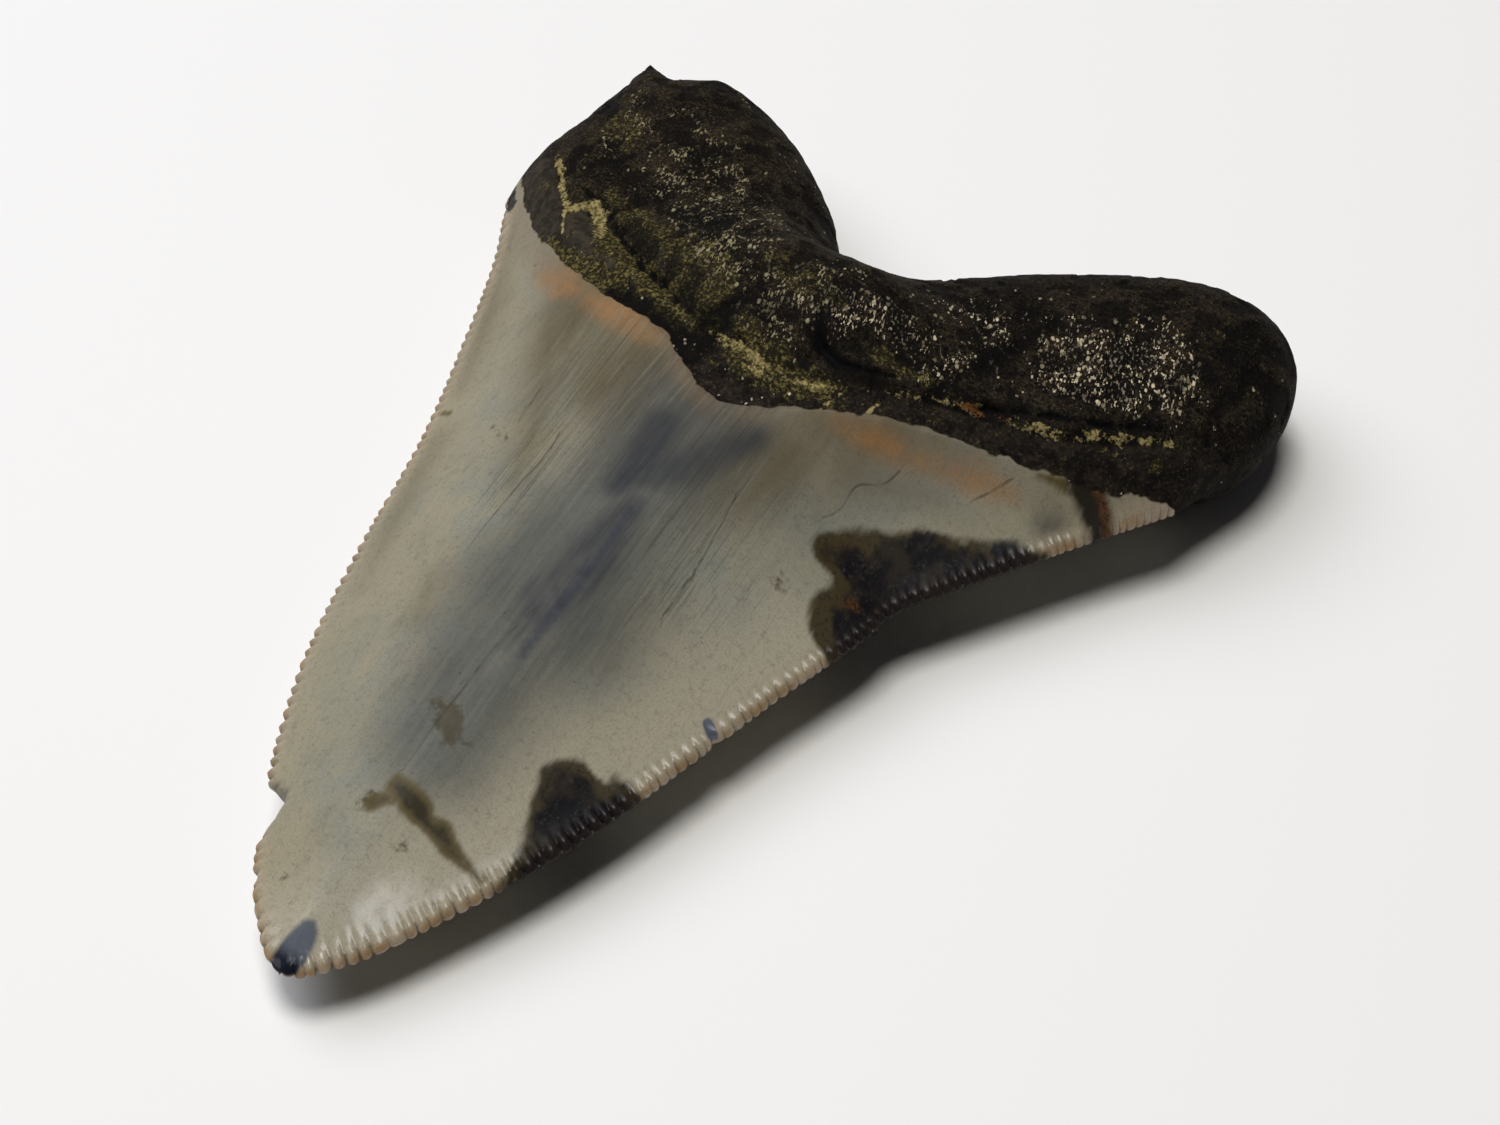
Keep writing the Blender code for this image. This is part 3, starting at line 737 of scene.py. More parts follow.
def clear_of(points, others, gap):
    """The points that lie further than the gap from all the others."""
    tree = tree_of(others)
    return points[[tree.find((x, y, 0))[2] > gap for x, y in points]]


def border_points(plan):
    """The rings of points just inside the rim."""
    found = plan.right.rings(CROWN_RINGS, FULL_RINGS) + plan.left.rings(CROWN_RINGS, FULL_RINGS)
    offsets = list(CROWN_RINGS) * 2
    along = plan.root_stations()
    side = normals_at(plan.root, along)
    for offset in ROOT_RINGS:
        found.append(walk(plan.root, along) - offset * side)
        offsets.append(offset)
    kept = []
    for ring, offset in zip(found, offsets):
        ring = ring[inside(ring, plan.rim)]
        kept.append(ring[plan.base_distance(ring) > CORNER_CLEARANCE * offset])
    chosen = np.vstack(kept)
    return chosen[first_of_each(chosen, plan.rim, RING_GAP)]


def first_of_each(points, rim, gap):
    """A mask that drops each point too near an earlier one or the rim."""
    everything = np.vstack([rim, points])
    tree = tree_of(everything)
    keep = np.ones(len(everything), bool)
    for i in range(len(rim), len(everything)):
        near = tree.find_range((*everything[i], 0), gap)
        keep[i] = not any(j < i and keep[j] for _, j, _ in near)
    return keep[len(rim) :]


def row_points(plan, line, rows):
    """Rows of points along a line, clear of the border."""
    along = np.arange(0, arc_lengths(line)[-1], LINE_STEP)
    points = np.vstack([walk(line, along) + row * normals_at(line, along) for row in rows])
    points = points[inside(points, plan.rim)]
    return points[plan.base_distance(points) > CROWN_RINGS[-1]]


def upper_points(plan, border):
    """The points of the upper surface inside the rim."""
    rows = [row_points(plan, plan.enamel, ENAMEL_ROWS)]
    rows.append(clear_of(row_points(plan, plan.groove, GROOVE_ROWS), rows[0], LINE_STEP / 2))
    ready = np.vstack([border, *rows])
    spreads = []
    for spacing, in_root in ((CROWN_SPACING, False), (ROOT_SPACING, True)):
        spread = spread_points(plan, spacing)
        spread = spread[(beyond(spread, plan.enamel) > ROOT_SPACING_START) == in_root]
        spreads.append(clear_of(spread, ready, SPREAD_CLEARANCE * spacing))
    return np.vstack([ready, *spreads])


def lower_points(plan, border):
    """The points of the lower surface inside the rim."""
    spread = spread_points(plan, LABIAL_SPACING)
    return np.vstack([border, clear_of(spread, border, SPREAD_CLEARANCE * LABIAL_SPACING)])


def triangles(rim, points):
    """The rim's inside, as triangles on its points and these, all facing up."""
    corners = [Vector(point) for point in np.vstack([rim, points])]
    border = [(i, (i + 1) % len(rim)) for i in range(len(rim))]
    found = delaunay_2d_cdt(corners, border, [], 1, 1e-6)
    assert len(found[0]) == len(corners)
    return np.array([tuple(face) for face in found[2]])


def vertex_normals(points, faces):
    """The mean normal of the faces round each point."""
    a, b, c = (points[faces[:, i]] for i in range(3))
    face = np.cross(b - a, c - a)
    total = np.zeros_like(points)
    for i in range(3):
        np.add.at(total, faces[:, i], face)
    return total / np.linalg.norm(total, axis=1)[:, None]


def pits(points):
    """The small pores of the root, as a depth from 0 to 1."""
    depth = np.zeros(len(points))
    spots = points / PIT_SPACING
    for i, spot in enumerate(spots):
        distances, places = noise.voronoi(Vector(spot))
        size = noise.cell(places[0] * PIT_SCATTER)
        if size < PIT_SHARE:
            radius = PIT_RADIUS[0] + (PIT_RADIUS[1] - PIT_RADIUS[0]) * size / PIT_SHARE
            depth[i] = 1 - smoothstep(PIT_FLOOR * radius, radius, math.sqrt(distances[0]))
    return depth


def fine_relief(points, rough):
    """How far each point stands out along its normal, and how much of that is a pit."""
    height = np.zeros(len(points))
    for length, amount in GRAIN:
        height += amount * waves(points, length, GRAIN_OFFSET)
    pit = pits(points)
    return rough * (height - PIT_DEPTH * pit), rough * pit


def shine(m, depths):
    """How polished the enamel is: most along the right edge and at the tip."""
    right = 1 - smoothstep(*SHINE_RIGHT, m["right"])
    left = SHINE_LEFT_SHARE * (1 - smoothstep(*SHINE_LEFT, m["left"]))
    tip = 1 - smoothstep(*SHINE_TIP, m["y"])
    tip *= 1 - smoothstep(*SHINE_TIP_SIDE, m["right"])
    weight = np.maximum(np.maximum(right, left), np.maximum(tip, SHINE_LEAST))
    stain = smoothstep(0, 0.6, depths["stain"]) * smoothstep(0.2, 0.8, m["edge"])
    weight *= 1 - STAIN_DULLNESS * stain
    dark_rim = smoothstep(-0.4, 0.2, np.maximum(depths["stain"], depths["stripe"]))
    weight *= 1 - STAIN_DULLNESS * dark_rim * (m["edge"] < RIM_WIDTH)
    return weight * (1 - SPOT_DULLNESS * smoothstep(-0.2, 0.2, depths["tip_spot"]))


def markings(m, flat, upper):
    """The fields that the material reads, by name."""
    by_rim = 1 - smoothstep(0, LABIAL_LINE_START, m["base"])
    labial_above = m["labial_above"] + (m["above"] - m["labial_above"]) * by_rim
    fields = {"above": np.where(upper, m["above"], labial_above)}
    fields.update(edge=m["edge"], right=m["right"], groove=m["groove"], down=m["y"])
    fields["flute"] = m["flute"] / FLUTE_DEPTH[1]
    depths = {name: chain_depth(flat, chains) for name, chains in DEPTHS.items()}
    depths["stain"] = loop_depth(flat, DARK_STAINS)
    level = np.column_stack([flat, 0 * flat[:, 0]])
    wander = sum(amount * waves(level, length) for length, amount in LINE_WANDER)
    depths["crust"] += wander
    depths["void"] += wander
    for name, depth in depths.items():
        fields[name] = np.clip(depth, -DEPTH_LIMIT, DEPTH_LIMIT)
    for name, (fade, chains) in ZONES.items():
        fields[name] = smoothstep(-fade, 0, chain_depth(flat, chains))
    fields["dust"] = np.maximum(fields["dust"], SPARSE_SHARE * fields.pop("sparse"))
    fields["shine"] = shine(m, depths)
    fields["navy"] = gauss(project(flat, smooth_curve(NAVY_LINE, 1))[0], NAVY_WIDTH)
    fields["lobe"] = smoothstep(*RIGHT_LOBE, m["x"])
    nearest = np.full(len(flat), CRACK_REACH)
    crack = nearest.copy()
    for line in CRACKS:
        far, side, _ = project(flat, smooth_curve(line))
        closer = far < nearest
        nearest = np.minimum(nearest, far)
        crack = np.where(closer, far * side, crack)
    fields["crack"] = crack
    fields["crack_near"] = 1 - smoothstep(CRACK_CORE, CRACK_REACH, nearest)
    return fields


def build_tooth():
    """The mesh's points in metres, its faces, and the fields of its markings."""
    plan = Plan()
    rim = plan.rim
    border = border_points(plan)
    upper = upper_points(plan, border)
    lower = lower_points(plan, border)
    upper_faces = triangles(rim, upper)
    lower_faces = triangles(rim, lower)
    skip = len(rim) + len(upper)
    flat = np.vstack([rim, upper, rim, lower])

    m = plan.measure(flat)
    is_upper = np.arange(len(flat)) < skip
    top = lingual({key: value[:skip] for key, value in m.items()})
    under = labial({key: value[skip:] for key, value in m.items()})
    points = np.column_stack([flat, np.concatenate([top, under])])
    i = np.arange(len(rim))
    j = (i + 1) % len(rim)
    band = [np.stack([i, i + skip, j + skip], 1), np.stack([i, j + skip, j], 1)]
    faces = np.vstack([upper_faces, lower_faces[:, ::-1] + skip, *band])

    fields = markings(m, flat, is_upper)
    out = vertex_normals(points, faces)
    from_rim = np.abs(points[:, 2] - station(RIM_HEIGHT, points[:, 1]))
    rough = smoothstep(*ROUGH_START, fields["above"]) * smoothstep(*ROUGH_RIM, from_rim)
    rough *= 1 - BAND_SMOOTHNESS * (is_upper & (fields["groove"] < 0))
    height, fields["pit"] = fine_relief(points, rough)
    crust = smoothstep(-CRUST_SLOPE, CRUST_SLOPE, fields["crust"]) * is_upper
    height += crust * (CRUST_HEIGHT * (1 + waves(points, CRUST_LUMP)) / 2)
    height -= VOID_DEPTH * smoothstep(-VOID_SLOPE, VOID_SLOPE, fields["void"]) * is_upper
    resting = points[:, 2] <= RESTING
    points += out * height[:, None]
    points[:, 2] = np.where(resting, 0, np.maximum(points[:, 2], 0))
    fields["upper"] = is_upper.astype(float)

    middle = (rim.min(0) + rim.max(0)) / 2
    low, high = (np.array(corner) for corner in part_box(NODE))
    points[:, :2] += ((low + high) / 2 / MM)[:2] - middle
    return np.clip(points * MM, low, high), faces, fields


def tooth_object():
    points, faces, fields = build_tooth()
    mesh = bpy.data.meshes.new("tooth_surface")
    mesh.from_pydata(points.tolist(), [], faces.tolist())
    for name, values in fields.items():
        attribute = mesh.attributes.new(name, "FLOAT", "POINT")
        attribute.data.foreach_set("value", values.astype(np.float32))
    mesh.shade_smooth()
    mesh.update()
    print("triangles:", len(faces))
    tooth = bpy.data.objects.new("tooth_surface", mesh)
    bpy.context.scene.collection.objects.link(tooth)
    return tooth


def srgb(*screen):
    """A colour given as a screen shows it, from 0 to 255, made linear."""
    shares = [value / 255 for value in screen]
    linear = [v / 12.92 if v <= 0.04045 else ((v + 0.055) / 1.055) ** 2.4 for v in shares]
    return (*linear, 1)


class Value:
    """A number or colour that nodes work out; to add, multiply or ramp it adds a node."""

    def __init__(self, graph, socket):
        self.graph = graph
        self.socket = socket

    def __add__(self, other):
        return self.graph.math("ADD", self, other)

    def __sub__(self, other):
        return self.graph.math("SUBTRACT", self, other)

    def __mul__(self, other):
        return self.graph.math("MULTIPLY", self, other)

    def ramp(self, low, high, start=0, end=1):
        """Start to end, smoothly, as the value goes from low to high."""
        inputs = {"Value": self, "From Min": low, "From Max": high, "To Min": start, "To Max": end}
        return self.graph.add("MapRange", inputs, "Result", interpolation_type="SMOOTHSTEP")


class Graph:
    """Adds and joins a material's nodes with short calls; g["name"] is a field of the mesh."""

    def __init__(self, name):
        self.material = bpy.data.materials.new(name)
        self.material.use_nodes = True
        self.nodes = self.material.node_tree.nodes
        self.shader = self.nodes["Principled BSDF"]
        self.fields = {}
        self.place = self.scaled(self.add("TexCoord", {}, "Object"), (1 / MM,) * 3)

    def __getitem__(self, name):
        if name not in self.fields:
            self.fields[name] = self.add("Attribute", {}, "Fac", attribute_name=name)
        return self.fields[name]

    def put(self, node, inputs):
        """Gives a node its inputs: values of other nodes, plain numbers or colours."""
        for name, value in inputs.items():
            if isinstance(value, Value):
                self.material.node_tree.links.new(value.socket, node.inputs[name])
            else:
                node.inputs[name].default_value = value

    def add(self, kind, inputs, *outputs, **settings):
        """Adds a node with these inputs and settings, and returns these outputs of it."""
        node = self.nodes.new("ShaderNode" + kind)
        for name, setting in settings.items():
            setattr(node, name, setting)
        self.put(node, inputs)
        found = [Value(self, node.outputs[output]) for output in outputs]
        return found if len(found) > 1 else found[0]

    def scaled(self, vector, scale, shift=0, turn=0):
        inputs = {"Vector": vector, "Scale": scale, "Location": (shift,) * 3}
        return self.add("Mapping", {**inputs, "Rotation": (0, 0, turn)}, "Vector")

    def math(self, operation, *values):
        return self.add("Math", dict(enumerate(values)), "Value", operation=operation)

    def noise_at(self, vector, detail, rough, output="Fac"):
        inputs = {"Vector": vector, "Scale": 1, "Detail": detail, "Roughness": rough}
        return self.add("TexNoise", inputs, output)

    def noise(self, size, detail=2, rough=0.5, shift=0):
        """Noise from about 0 to 1, with features of this size in millimetres."""
        return self.noise_at(self.scaled(self.place, (1 / size,) * 3, shift), detail, rough)

    def streaks(self, width, length, detail=2, rough=0.5, shift=0):
        """Noise drawn out from the root to the tip."""
        vector = self.scaled(self.place, (1 / width, 1 / length, 0.1), shift)
        return self.noise_at(vector, detail, rough)

    def cells(self, size, stretch=(1, 1, 1), wobble=0, shift=0):
        """Scattered centres: the distance to the nearest one, and three random values of its."""
        vector = self.scaled(self.place, (1, 1, 1), 0, CELL_TURN)
        vector = self.scaled(vector, [1 / (size * s) for s in stretch], shift)
        if wobble:
            rough = self.noise_at(self.scaled(vector, (2, 2, 2)), 2, 0.6, "Color")
            inputs = {0: rough, 1: (wobble,) * 3, 2: vector}
            vector = self.add("VectorMath", inputs, "Vector", operation="MULTIPLY_ADD")
        inputs = {"Vector": vector, "Scale": 1}
        distance, colour = self.add("TexVoronoi", inputs, "Distance", "Color")
        return distance, *self.add("SeparateColor", {"Color": colour}, 0, 1, 2)

    def mix(self, factor, first, second):
        """From the first colour to the second."""
        return self.add("Mix", {0: factor, 6: first, 7: second}, 2, data_type="RGBA")

    def blend(self, factor, first, second):
        """The same for plain numbers."""
        return self.add("Mix", {0: factor, 2: first, 3: second}, 0, data_type="FLOAT")

    def paint(self, colour, *layers):
        """Lays these over a colour in turn, each a (weight, colour)."""
        for weight, layer in layers:
            colour = self.mix(weight, colour, layer)
        return colour


CELL_TURN = -0.35  # the lean of the root's flecks, which run from the border to the tip

ENAMEL_GREY = srgb(137, 138, 126)
ENAMEL_WARM = srgb(147, 142, 123)
ENAMEL_PALE = srgb(152, 151, 142)
ENAMEL_BROWN = srgb(88, 78, 56)
ENAMEL_DIM = srgb(93, 85, 64)
ENAMEL_BEIGE = srgb(157, 149, 124)
ENAMEL_PAINTED_LIGHT = srgb(184, 177, 158)
ENAMEL_BLUE = srgb(76, 79, 77)
SMUDGE_BLUE = srgb(40, 44, 51)
NAVY = srgb(40, 45, 60)
BRUSH_DARK = srgb(66, 61, 52)
ORANGE = srgb(160, 114, 66)
BORDER_TAN = srgb(134, 111, 82)
EDGE_TAN = srgb(152, 119, 78)
EDGE_PALE_AND_LIT = srgb(172, 158, 134)
EDGE_GAP_SHADE = srgb(84, 68, 50)
FLECK_BROWN = srgb(62, 52, 38)
STAIN_OLIVE = srgb(64, 56, 36)
STAIN_BROWN = srgb(46, 40, 31)
STAIN_EDGE = srgb(40, 31, 27)
STAIN_BLACK = srgb(17, 15, 19)
STAIN_SHEEN = srgb(58, 56, 54)
STAIN_RUST = srgb(78, 52, 26)
BROWN_OLIVE = srgb(84, 73, 40)
BROWN_HEART = srgb(46, 39, 20)
FAINT_BROWN = srgb(68, 61, 42)
STRIPE_BLACK = srgb(22, 17, 11)
STRIPE_RUST = srgb(88, 54, 22)
SPOT_BLUE = srgb(88, 93, 102)
SPOT_NAVY = srgb(20, 22, 36)
CHIP_BLUE = srgb(92, 96, 108)
ROOT_DARK = srgb(5, 3, 2)
ROOT_BROWN = srgb(31, 25, 18)
ROOT_GRAIN = srgb(76, 66, 48)
OLIVE_DARK = srgb(32, 28, 16)
OLIVE_LIGHT = srgb(114, 104, 58)
PANEL_GREY = srgb(60, 54, 44)
PANEL_DARK = srgb(36, 32, 27)
BAND_CHARCOAL = srgb(18, 15, 12)
BAND_BROWN = srgb(43, 36, 30)
SPECK_DIM = srgb(100, 91, 70)
SPECK_OLIVE = srgb(176, 168, 130)
SPECK_PALE = srgb(208, 194, 166)
CRUST_OLIVE = srgb(92, 84, 50)
CRUST_YELLOW = srgb(153, 138, 92)
CRUST_RUST = srgb(104, 66, 34)
# Near black: painted shade deep in the voids and pits, and the colour of the dark chip.
VOID_BLACK = srgb(5, 4, 4)


def enamel_colour(g):
    """The crown's grey enamel with its zones, streaks and specks, painted light on the right flank,
    a partly painted highlight on the serrations and painted shade in their gaps.
    """
    upper = g["upper"]
    edge = g["edge"]
    broad = g.noise(9, 2)
    soft = g.streaks(3.2, 18, 3, 0.55)
    streak = g.streaks(0.5, 9, 3, 0.65, 3)
    fine = g.streaks(0.18, 9, 1.5, 0.6, 7)
    hair = g.streaks(0.1, 5, 1, 0.5, 9)
    patch = g.streaks(2, 3.6, 4, 0.65, 13)
    beside = edge.ramp(1.5, 7, 0.6, 0) * upper
    lower = g["down"].ramp(-27, -20, 1, 0) * upper
    near_root = g["above"].ramp(-14, -2) * soft.ramp(0.3, 0.6, 0.7, 1)
    inland = edge.ramp(4, 11, 0.1, 0.9)
    blue = g["blue"] * broad.ramp(0.35, 0.65, 0.85, 1)
    orange = g["orange"] * g.noise(1.4, 3).ramp(0.3, 0.7, 0.4, 0.72) * upper
    border = g["above"].ramp(-2.4, -0.2, 0, 0.4) * patch.ramp(0.3, 0.6, 0.4, 1)
    border = border * upper * g["lobe"].ramp(0, 1, 1, 0.25)
    reach = g["brushed"] + g.streaks(0.6, 14, 2, 0.6, 17).ramp(0.3, 0.7, -0.4, 0.4)
    lines = reach.ramp(0, 1.2, 0.05, 0.62)
    smudge = g["smudge"] * streak.ramp(0.32, 0.6, 0.9, 0.65) * upper
    navy = g["navy"] * soft.ramp(0.3, 0.6, 0.9, 0.5) * upper
    tan = edge.ramp(0.1, 0.6, 1, 0) * g.noise(1.8, 2).ramp(0.35, 0.6, 0.2, 0.85)
    # Painted shade: the gaps between the serrations are darkened near the edge, where they cut into
    # the face.
    gap = g["flute"].ramp(0.15, 0.8) * edge.ramp(1.4, 0.3, 0.5, 1)
    mottle = g.noise(0.5, 4, 0.75, 11)
    dusty = g.noise(0.16, 2, 0.6, 15)
    distance, chance, strength, _ = g.cells(1.7)
    speck = distance.ramp(0.03, 0.08, 1, 0) * chance.ramp(0.72, 0.74)
    return g.paint(
        g.mix(broad.ramp(0.38, 0.62), ENAMEL_GREY, ENAMEL_WARM),
        (patch.ramp(0.5, 0.7, 0, 0.5), ENAMEL_BEIGE),
        (patch.ramp(0.48, 0.3, 0, 0.22), ENAMEL_BLUE),
        (beside, ENAMEL_BEIGE),
        # Painted light: the right flank nearer the tip is made lighter, standing in for the light
        # that falls on it.
        (g["right"].ramp(2, 9, 0.55, 0) * lower, ENAMEL_PAINTED_LIGHT),
        (g["dim"] * soft.ramp(0.3, 0.6, 0.65, 0.95), ENAMEL_DIM),
        (near_root * inland, ENAMEL_BROWN),
        (blue * streak.ramp(0.35, 0.65, 0.95, 0.8), ENAMEL_BLUE),
        (orange, ORANGE),
        (border, BORDER_TAN),
        (streak.ramp(0.48, 0.3) * lines * 0.3, ENAMEL_BEIGE),
        (streak.ramp(0.55, 0.8) * lines * 0.35, BRUSH_DARK),
        (fine.ramp(0.56, 0.74) * lines * 0.8, BRUSH_DARK),
        (hair.ramp(0.54, 0.68) * lines * 0.6, BRUSH_DARK),
        (fine.ramp(0.42, 0.28) * lines * 0.2, ENAMEL_PALE),
        (smudge, SMUDGE_BLUE),
        (navy, NAVY),
        # Paler serrations: partly their own pale enamel, partly a painted highlight on the beads.
        (edge.ramp(0.4, 1.5, 0.6, 0), EDGE_PALE_AND_LIT),
        (tan, EDGE_TAN),
        (gap * 0.85, EDGE_GAP_SHADE),
        (mottle.ramp(0.5, 0.75, 0, 0.35), BRUSH_DARK),
        (dusty.ramp(0.45, 0.7, 0, 0.2), BRUSH_DARK),
        (speck * strength.ramp(0, 1, 0.3, 0.8), FLECK_BROWN),
    )


def crack_line(g):
    """The thin cracks of the enamel, broken here and there."""
    away = g.math("ABSOLUTE", g["crack"])
    width = g.noise(1.2, 2).ramp(0.35, 0.65, 0.3, 1)
    return away.ramp(0.02, 0.13, 1, 0) * width * g["crack_near"]


# How the stains' black core swells or shrinks, as the place goes down the crown.
STAIN_CORE = ((-18, -13.5, 0, 0.7), (-26, -21, -0.7, 0), (-42, -34, 1, 0))


def stained(g, colour):
    """Lays the stains over the enamel, with a painted sheen in their black."""
    upper = g["upper"]
    wander = g.noise(1.9, 1).ramp(0.2, 0.8, -0.22, 0.22)
    wander = wander + g.streaks(0.3, 2, 2).ramp(0.25, 0.75, -0.08, 0.08)
    mottle = g.streaks(1.4, 2.6, 3, 0.6, 2)
    grain = g.noise(0.3, 2, 0.6)
    ragged = g.noise(0.8, 3, 0.6, 5).ramp(0.25, 0.75, -0.5, 0.5)
    faint = (g["faint"] + ragged).ramp(-0.5, 0.4)
    brown = g["brown"] + wander * 0.6
    heart = brown.ramp(0.05, 0.55) * mottle.ramp(0.3, 0.55, 0.3, 1)
    depth = g["stain"] + wander
    olive = g.mix(grain.ramp(0.5, 0.7), STAIN_OLIVE, STAIN_BROWN)
    rust = (g["rust"] + wander).ramp(-0.4, 0.3)
    # Painted sheen: lighter grey-blue grains in the stains' black, standing in for a reflection.
    sheen = grain.ramp(0.5, 0.7) * g.noise(1.2, 2, 0.5, 11).ramp(0.4, 0.62, 0, 0.7)
    core = depth + g.noise(2, 3).ramp(0.3, 0.7, -0.7, 0.4)
    for limits in STAIN_CORE:
        core = core + g["down"].ramp(*limits)
    inner = g.paint(
        g.mix(mottle.ramp(0.42, 0.64) * 0.8, STAIN_BLACK, STAIN_BROWN),
        (sheen, STAIN_SHEEN),
        (rust * grain.ramp(0.35, 0.6), STAIN_RUST),
    )
    serration = g["edge"].ramp(0.5, 1.1, 1, 0) * g["flute"].ramp(0, 0.4, 0.7, 0)
    stripe = g.mix(rust * grain.ramp(0.3, 0.55), STRIPE_BLACK, STRIPE_RUST)
    spot = g["tip_spot"] + wander * 0.5
    blue = g.mix(g["down"].ramp(-66.4, -65.2, 1, 0), SPOT_BLUE, SPOT_NAVY)
    chip = g["grey_chip"].ramp(-0.1, 0.1) * upper
    return g.paint(
        colour,
        (faint * 0.9, FAINT_BROWN),
        (brown.ramp(-0.45, 0.12) * 0.95, BROWN_OLIVE),
        (heart, BROWN_HEART),
        (depth.ramp(-0.4, 0.3), olive),
        (core.ramp(0.4, 1.3), inner),
        (serration * depth.ramp(0, 0.4), STAIN_EDGE),
        ((g["stripe"] + wander).ramp(-0.6, 0.3, 0, 0.95), stripe),
        (spot.ramp(-0.15, 0.35) * upper, blue),
        (chip, CHIP_BLUE),
    )


# Two sizes of flake: width, length, shift, and the limits with the fewest and the most of them.
FLAKES = ((0.2, 0.48, 5, 0.74, 0.57), (0.34, 0.6, 9, 0.76, 0.615))


def specked(g, colour):
    """Strews pale flakes and dots over the root, most in some zones."""
    lobe = g["lobe"]
    dust = g["dust"] + g.noise(1.6, 3).ramp(0.3, 0.7, -0.4, 0.25)
    bright = lobe * 0.4 + g["dust"].ramp(0.5, 1, 0.4, 0.65)
    leaning = g.scaled(g.place, (1, 1, 1), 0, CELL_TURN)
    pale = g.mix(lobe, SPECK_OLIVE, SPECK_PALE)
    flakes = []
    for width, length, shift, low, high in FLAKES:
        flake = g.noise_at(g.scaled(leaning, (1 / width, 1 / length, 1 / length), shift), 1.5, 0.6)
        limit = dust.ramp(0, 0.9, low, high) + lobe * 0.02
        flake = (flake - limit).ramp(0, 0.04)
        tone = g.noise(0.4, 2, 0.6, 4 + shift).ramp(0.3, 0.66) * bright
        colour = g.mix(flake, colour, g.mix(tone, SPECK_DIM, pale))
        flakes.append(flake)
    distance, chance, width, tone = g.cells(0.4, (1, 1.6, 1.3), 0.7)
    radius = width.ramp(0, 1, 0.12, 0.42)
    dot = (distance - radius).ramp(-0.08, 0.05, 1, 0)
    dot = dot * g.math("LESS_THAN", chance, dust * 0.7)
    tone = tone.ramp(0.2, 1) * (bright + 0.1)
    colour = g.mix(dot, colour, g.mix(tone, SPECK_DIM, pale))
    return colour, g.math("MAXIMUM", g.math("MAXIMUM", *flakes), dot)


def root_colour(g):
    """The root's dark matrix, with olive grains, smooth panels, pale flecks and painted shade in
    its hollows.
    """
    upper = g["upper"]
    broad = g.noise(5, 3, 0.55)
    fine = g.noise(0.7, 3, 0.65)
    grain = g.noise(0.2, 3, 0.7, 6)
    grainy = grain.ramp(0.46, 0.62) * fine.ramp(0.35, 0.6, 0.25, 1)
    grainy = grainy * g["lobe"].ramp(0, 1, 1, 0.7)
    pore = g.noise(0.35, 3, 0.7, 12).ramp(0.53, 0.38) * g["lobe"].ramp(0, 1, 0.6, 1)
    olive = g["olive"] + g.noise(1.2, 4, 0.7, 9).ramp(0.3, 0.7, -0.95, 0.3)
    grains = g.mix(g.noise(0.3, 3, 0.75, 3).ramp(0.48, 0.68), OLIVE_DARK, OLIVE_LIGHT)
    panel = g["panel"] * g.noise(0.9, 2).ramp(0.3, 0.6, 0.4, 0.9) * upper
    colour = g.paint(
        g.mix(broad.ramp(0.35, 0.65), ROOT_DARK, ROOT_BROWN),
        (grainy * broad.ramp(0.3, 0.6, 0.45, 0.9), ROOT_GRAIN),
        (pore, ROOT_DARK),
        (olive.ramp(0, 0.6, 0, 0.9), grains),
        (panel, panel_colour(g)),
    )
    colour, speck = specked(g, colour)
    # Painted shade: the root is darkened towards black in its hollows.
    return g.mix(g["shade"] * 0.85 * upper, colour, ROOT_DARK), speck


def panel_colour(g):
    """The smooth grey-brown patches."""
    mottle = g.noise(0.9, 4, 0.65, 4)
    return g.mix(mottle.ramp(0.35, 0.65), PANEL_DARK, PANEL_GREY)


def band_colour(g):
    """The smooth dark band between the crown and the root's grain, with painted shade in its
    hollows.
    """
    mottle = g.noise(1.2, 3, 0.6, 4)
    grain = g.noise(0.28, 3, 0.7, 6)
    olive = g["olive"] + g.noise(1.1, 4, 0.7, 9).ramp(0.3, 0.7, -0.85, 0.35)
    grains = g.mix(g.noise(0.3, 3, 0.75, 3).ramp(0.46, 0.66), OLIVE_DARK, OLIVE_LIGHT)
    distance, chance, width, tone = g.cells(0.36, (1, 1.2, 1), 0.7, 2)
    spot = distance - width.ramp(0, 1, 0.08, 0.3)
    chosen = g.math("LESS_THAN", chance, g["micro"].ramp(0, 1, 0.06, 0.5))
    spot = spot.ramp(-0.05, 0.05, 1, 0) * chosen
    vein = g["vein"] + g.noise(0.5, 2).ramp(0.3, 0.7, -0.08, 0.08)
    return g.paint(
        g.mix(mottle.ramp(0.4, 0.7), BAND_CHARCOAL, BAND_BROWN),
        (grain.ramp(0.5, 0.3, 0, 0.9), ROOT_DARK),
        (grain.ramp(0.56, 0.7, 0, 0.6), ROOT_GRAIN),
        (g["panel"], panel_colour(g)),
        (olive.ramp(0, 0.5, 0, 0.95), grains),
        # Painted shade in the band's hollows.
        (g["shade"] * 0.85, ROOT_DARK),
        (spot, g.mix(g.math("POWER", tone, 2), BAND_BROWN, SPECK_PALE)),
        (vein.ramp(-0.1, 0.02), CRUST_YELLOW),
    )


